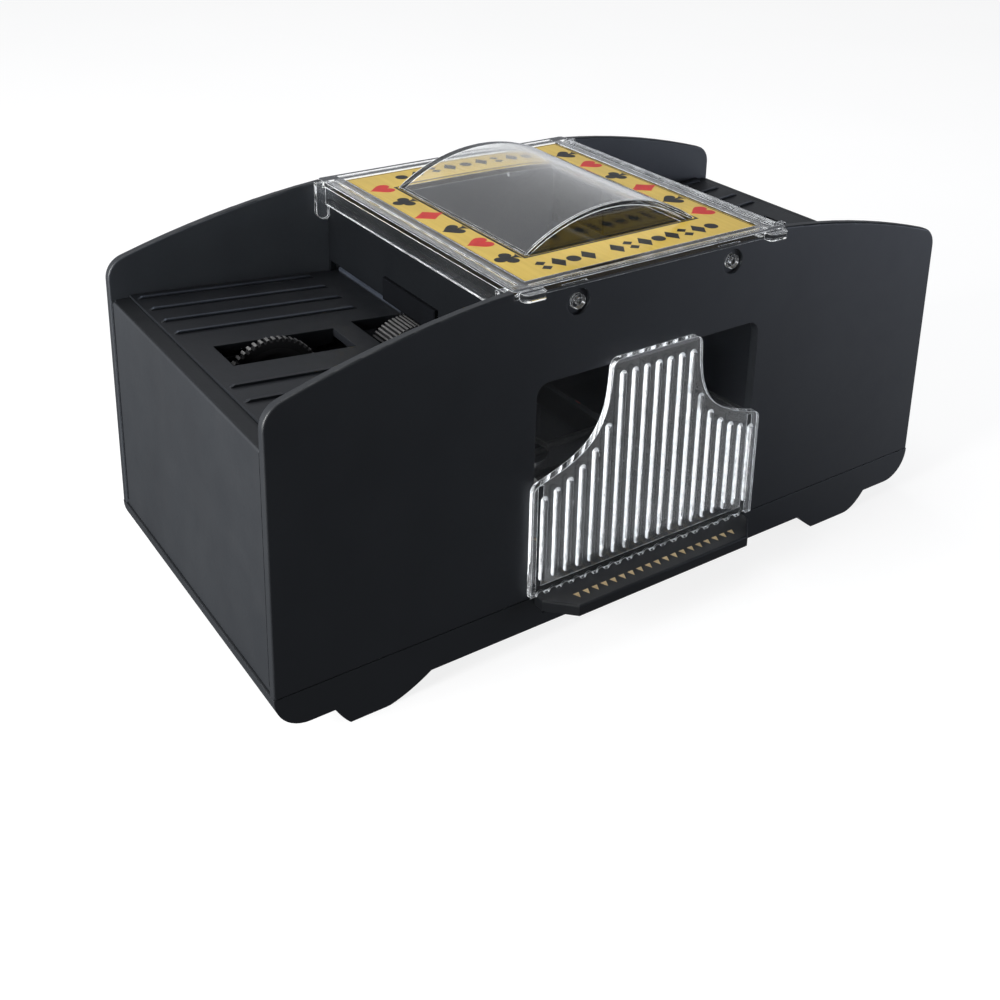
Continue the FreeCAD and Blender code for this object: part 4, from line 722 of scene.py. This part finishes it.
# What the object sees: paper lit unevenly by the studio, bright on the left and behind, dim in front.
em = M.n("ShaderNodeEmission")
em.inputs["Color"].default_value = (0.93, 0.97, 1.05, 1)
geo = M.n("ShaderNodeNewGeometry")
sep = M.n("ShaderNodeSeparateXYZ")
M.link(geo.outputs["Position"], sep.inputs["Vector"])
X, Y = sep.outputs["X"], sep.outputs["Y"]
back = M.maprange(Y, 0.05, 0.35, 0.0, 0.40)
left = M.maprange(X, -0.108, -0.30, 0.10, 0.46)
right = M.math("MULTIPLY", M.maprange(X, 0.02, 0.16, 0.0, 0.46), M.maprange(Y, -0.12, -0.30, 1.0, 0.25))
pat = M.math("MAXIMUM", M.math("MAXIMUM", back, left), right)
M.link(M.math("ADD", pat, 0.052), em.inputs["Strength"])
lp = M.n("ShaderNodeLightPath")
mx = M.n("ShaderNodeMixShader")
M.link(M.math("MAXIMUM", lp.outputs["Is Camera Ray"], lp.outputs["Is Transmission Ray"]), mx.inputs["Fac"])
M.link(em.outputs["Emission"], mx.inputs[1])
M.link(seen.outputs["Shader"], mx.inputs[2])
# From beneath, the paper isn't there, so that the underside can be looked at; light from below passes too.
gone = M.n("ShaderNodeBsdfTransparent")
under = M.n("ShaderNodeMixShader")
M.link(M.math("MAXIMUM", geo.outputs["Backfacing"], lp.outputs["Is Shadow Ray"]), under.inputs["Fac"])
M.link(mx.outputs["Shader"], under.inputs[1])
M.link(gone.outputs["BSDF"], under.inputs[2])
M.link(under.outputs["Shader"], M.out.inputs["Surface"])
me.materials.append(M.m)

w = bpy.data.worlds.new("studio")
scene.world = w
w.use_nodes = True
wt = w.node_tree
wt.nodes.clear()


class WorldTree(Mat):
    def __init__(self, tree):
        self.t = tree
        self.out = self.n("ShaderNodeOutputWorld")


W = WorldTree(wt)
tc = W.n("ShaderNodeTexCoord")
sep = W.n("ShaderNodeSeparateXYZ")
W.link(tc.outputs["Generated"], sep.inputs["Vector"])
wback = W.maprange(sep.outputs["Y"], 0.0, 0.75, 0.0, 0.50)
wleft = W.math("MULTIPLY", W.maprange(sep.outputs["X"], -0.15, -0.85, 0.0, 0.45), W.maprange(sep.outputs["Y"], -0.55, 0.0, 0.25, 1.0))
wup = W.math("MULTIPLY", W.maprange(sep.outputs["Z"], 0.30, 0.90, 0.0, 0.18), W.maprange(sep.outputs["Y"], -0.50, 0.05, 0.2, 1.0))
room = W.n("ShaderNodeBackground")
room.inputs["Color"].default_value = (0.93, 0.97, 1.05, 1)
W.link(W.math("ADD", W.math("MAXIMUM", W.math("MAXIMUM", wback, wleft), wup), 0.032), room.inputs["Strength"])
paper = W.n("ShaderNodeBackground")
paper.inputs["Color"].default_value = (1, 1, 1, 1)
paper.inputs["Strength"].default_value = 1.0
lp = W.n("ShaderNodeLightPath")
mx = W.n("ShaderNodeMixShader")
W.link(W.math("MAXIMUM", lp.outputs["Is Camera Ray"], lp.outputs["Is Transmission Ray"]), mx.inputs["Fac"])
W.link(room.outputs["Background"], mx.inputs[1])
W.link(paper.outputs["Background"], mx.inputs[2])
W.link(mx.outputs["Shader"], W.out.inputs["Surface"])


def area(name, loc, target, size, power, color=(1, 1, 1), size_y=None, spread=None):
    L = bpy.data.lights.new(name, "AREA")
    L.energy = power
    L.color = color
    L.size = size
    if size_y:
        L.shape = "RECTANGLE"
        L.size_y = size_y
    if spread:
        L.spread = math.radians(spread)
    ob = bpy.data.objects.new(name, L)
    ob.location = loc
    ob.rotation_mode = "QUATERNION"
    ob.rotation_quaternion = (Vector(target) - Vector(loc)).to_track_quat("-Z", "Y")
    scene.collection.objects.link(ob)
    ob.visible_camera = False
    return ob


area("top_soft", (-0.05, 0.22, 0.95), (0.0, 0.0, 0.05), 0.6, 3.9)
area("left_key", (-0.62, -0.035, 0.20), (-0.10, 0.0, 0.06), 0.30, 8.9, (1.0, 1.0, 0.99))
area("right_soft", (0.52, -0.36, 0.07), (0.14, -0.05, 0.045), 0.22, 1.0, (0.86, 0.94, 1.14))

area("under_soft", (0.0, 0.004, -0.60), (0.0, 0.004, 0.0), 0.10, 2.4)

# ------------------------------------------------------------------ camera
YAW, PITCH, ROLL = math.radians(34.783), math.radians(18.882), math.radians(1.29)
FPX, CX, CY = 1313.9, 508.496, 204.183
cam_data = bpy.data.cameras.new("camera")
cam = bpy.data.objects.new("camera", cam_data)
scene.collection.objects.link(cam)
scene.camera = cam
d = Vector((math.sin(YAW) * math.cos(PITCH), math.cos(YAW) * math.cos(PITCH), -math.sin(PITCH)))
r = Vector((math.cos(YAW), -math.sin(YAW), 0))
u = r.cross(d)
r2 = r * math.cos(ROLL) + u * math.sin(ROLL)
u2 = u * math.cos(ROLL) - r * math.sin(ROLL)
rot = Matrix((r2, u2, -d)).transposed()
cam.matrix_world = Matrix.Translation(P(-195.509, -265.92, 207.265)) @ rot.to_4x4()
cam_data.sensor_width = 36.0
cam_data.lens = 36.0 * FPX / 1000.0
cam_data.clip_start = 0.01
cam_data.clip_end = 50.0

# The lens shift belongs to this one viewpoint: it fades out as soon as the camera is moved elsewhere.
spot = bpy.data.objects.new("camera_spot", None)
spot.matrix_world = cam.matrix_world.copy()
scene.collection.objects.link(spot)


def shift_driver(path, amount):
    fc = cam_data.driver_add(path)
    drv = fc.driver
    drv.type = "SUM"
    v = drv.variables.new()
    v.type = "LOC_DIFF"
    v.targets[0].id = cam
    v.targets[1].id = spot
    for m in list(fc.modifiers):
        fc.modifiers.remove(m)
    for a, b in ((0.0, amount), (0.02, amount), (0.05, 0.0)):
        fc.keyframe_points.insert(a, b)
    for k in fc.keyframe_points:
        k.interpolation = "LINEAR"
    fc.extrapolation = "CONSTANT"
    fc.update()


shift_driver("shift_x", (500.0 - CX) / 1000.0)
shift_driver("shift_y", (CY - 500.0) / 1000.0)

scene.view_settings.view_transform = "Standard"
scene.view_settings.look = "None"
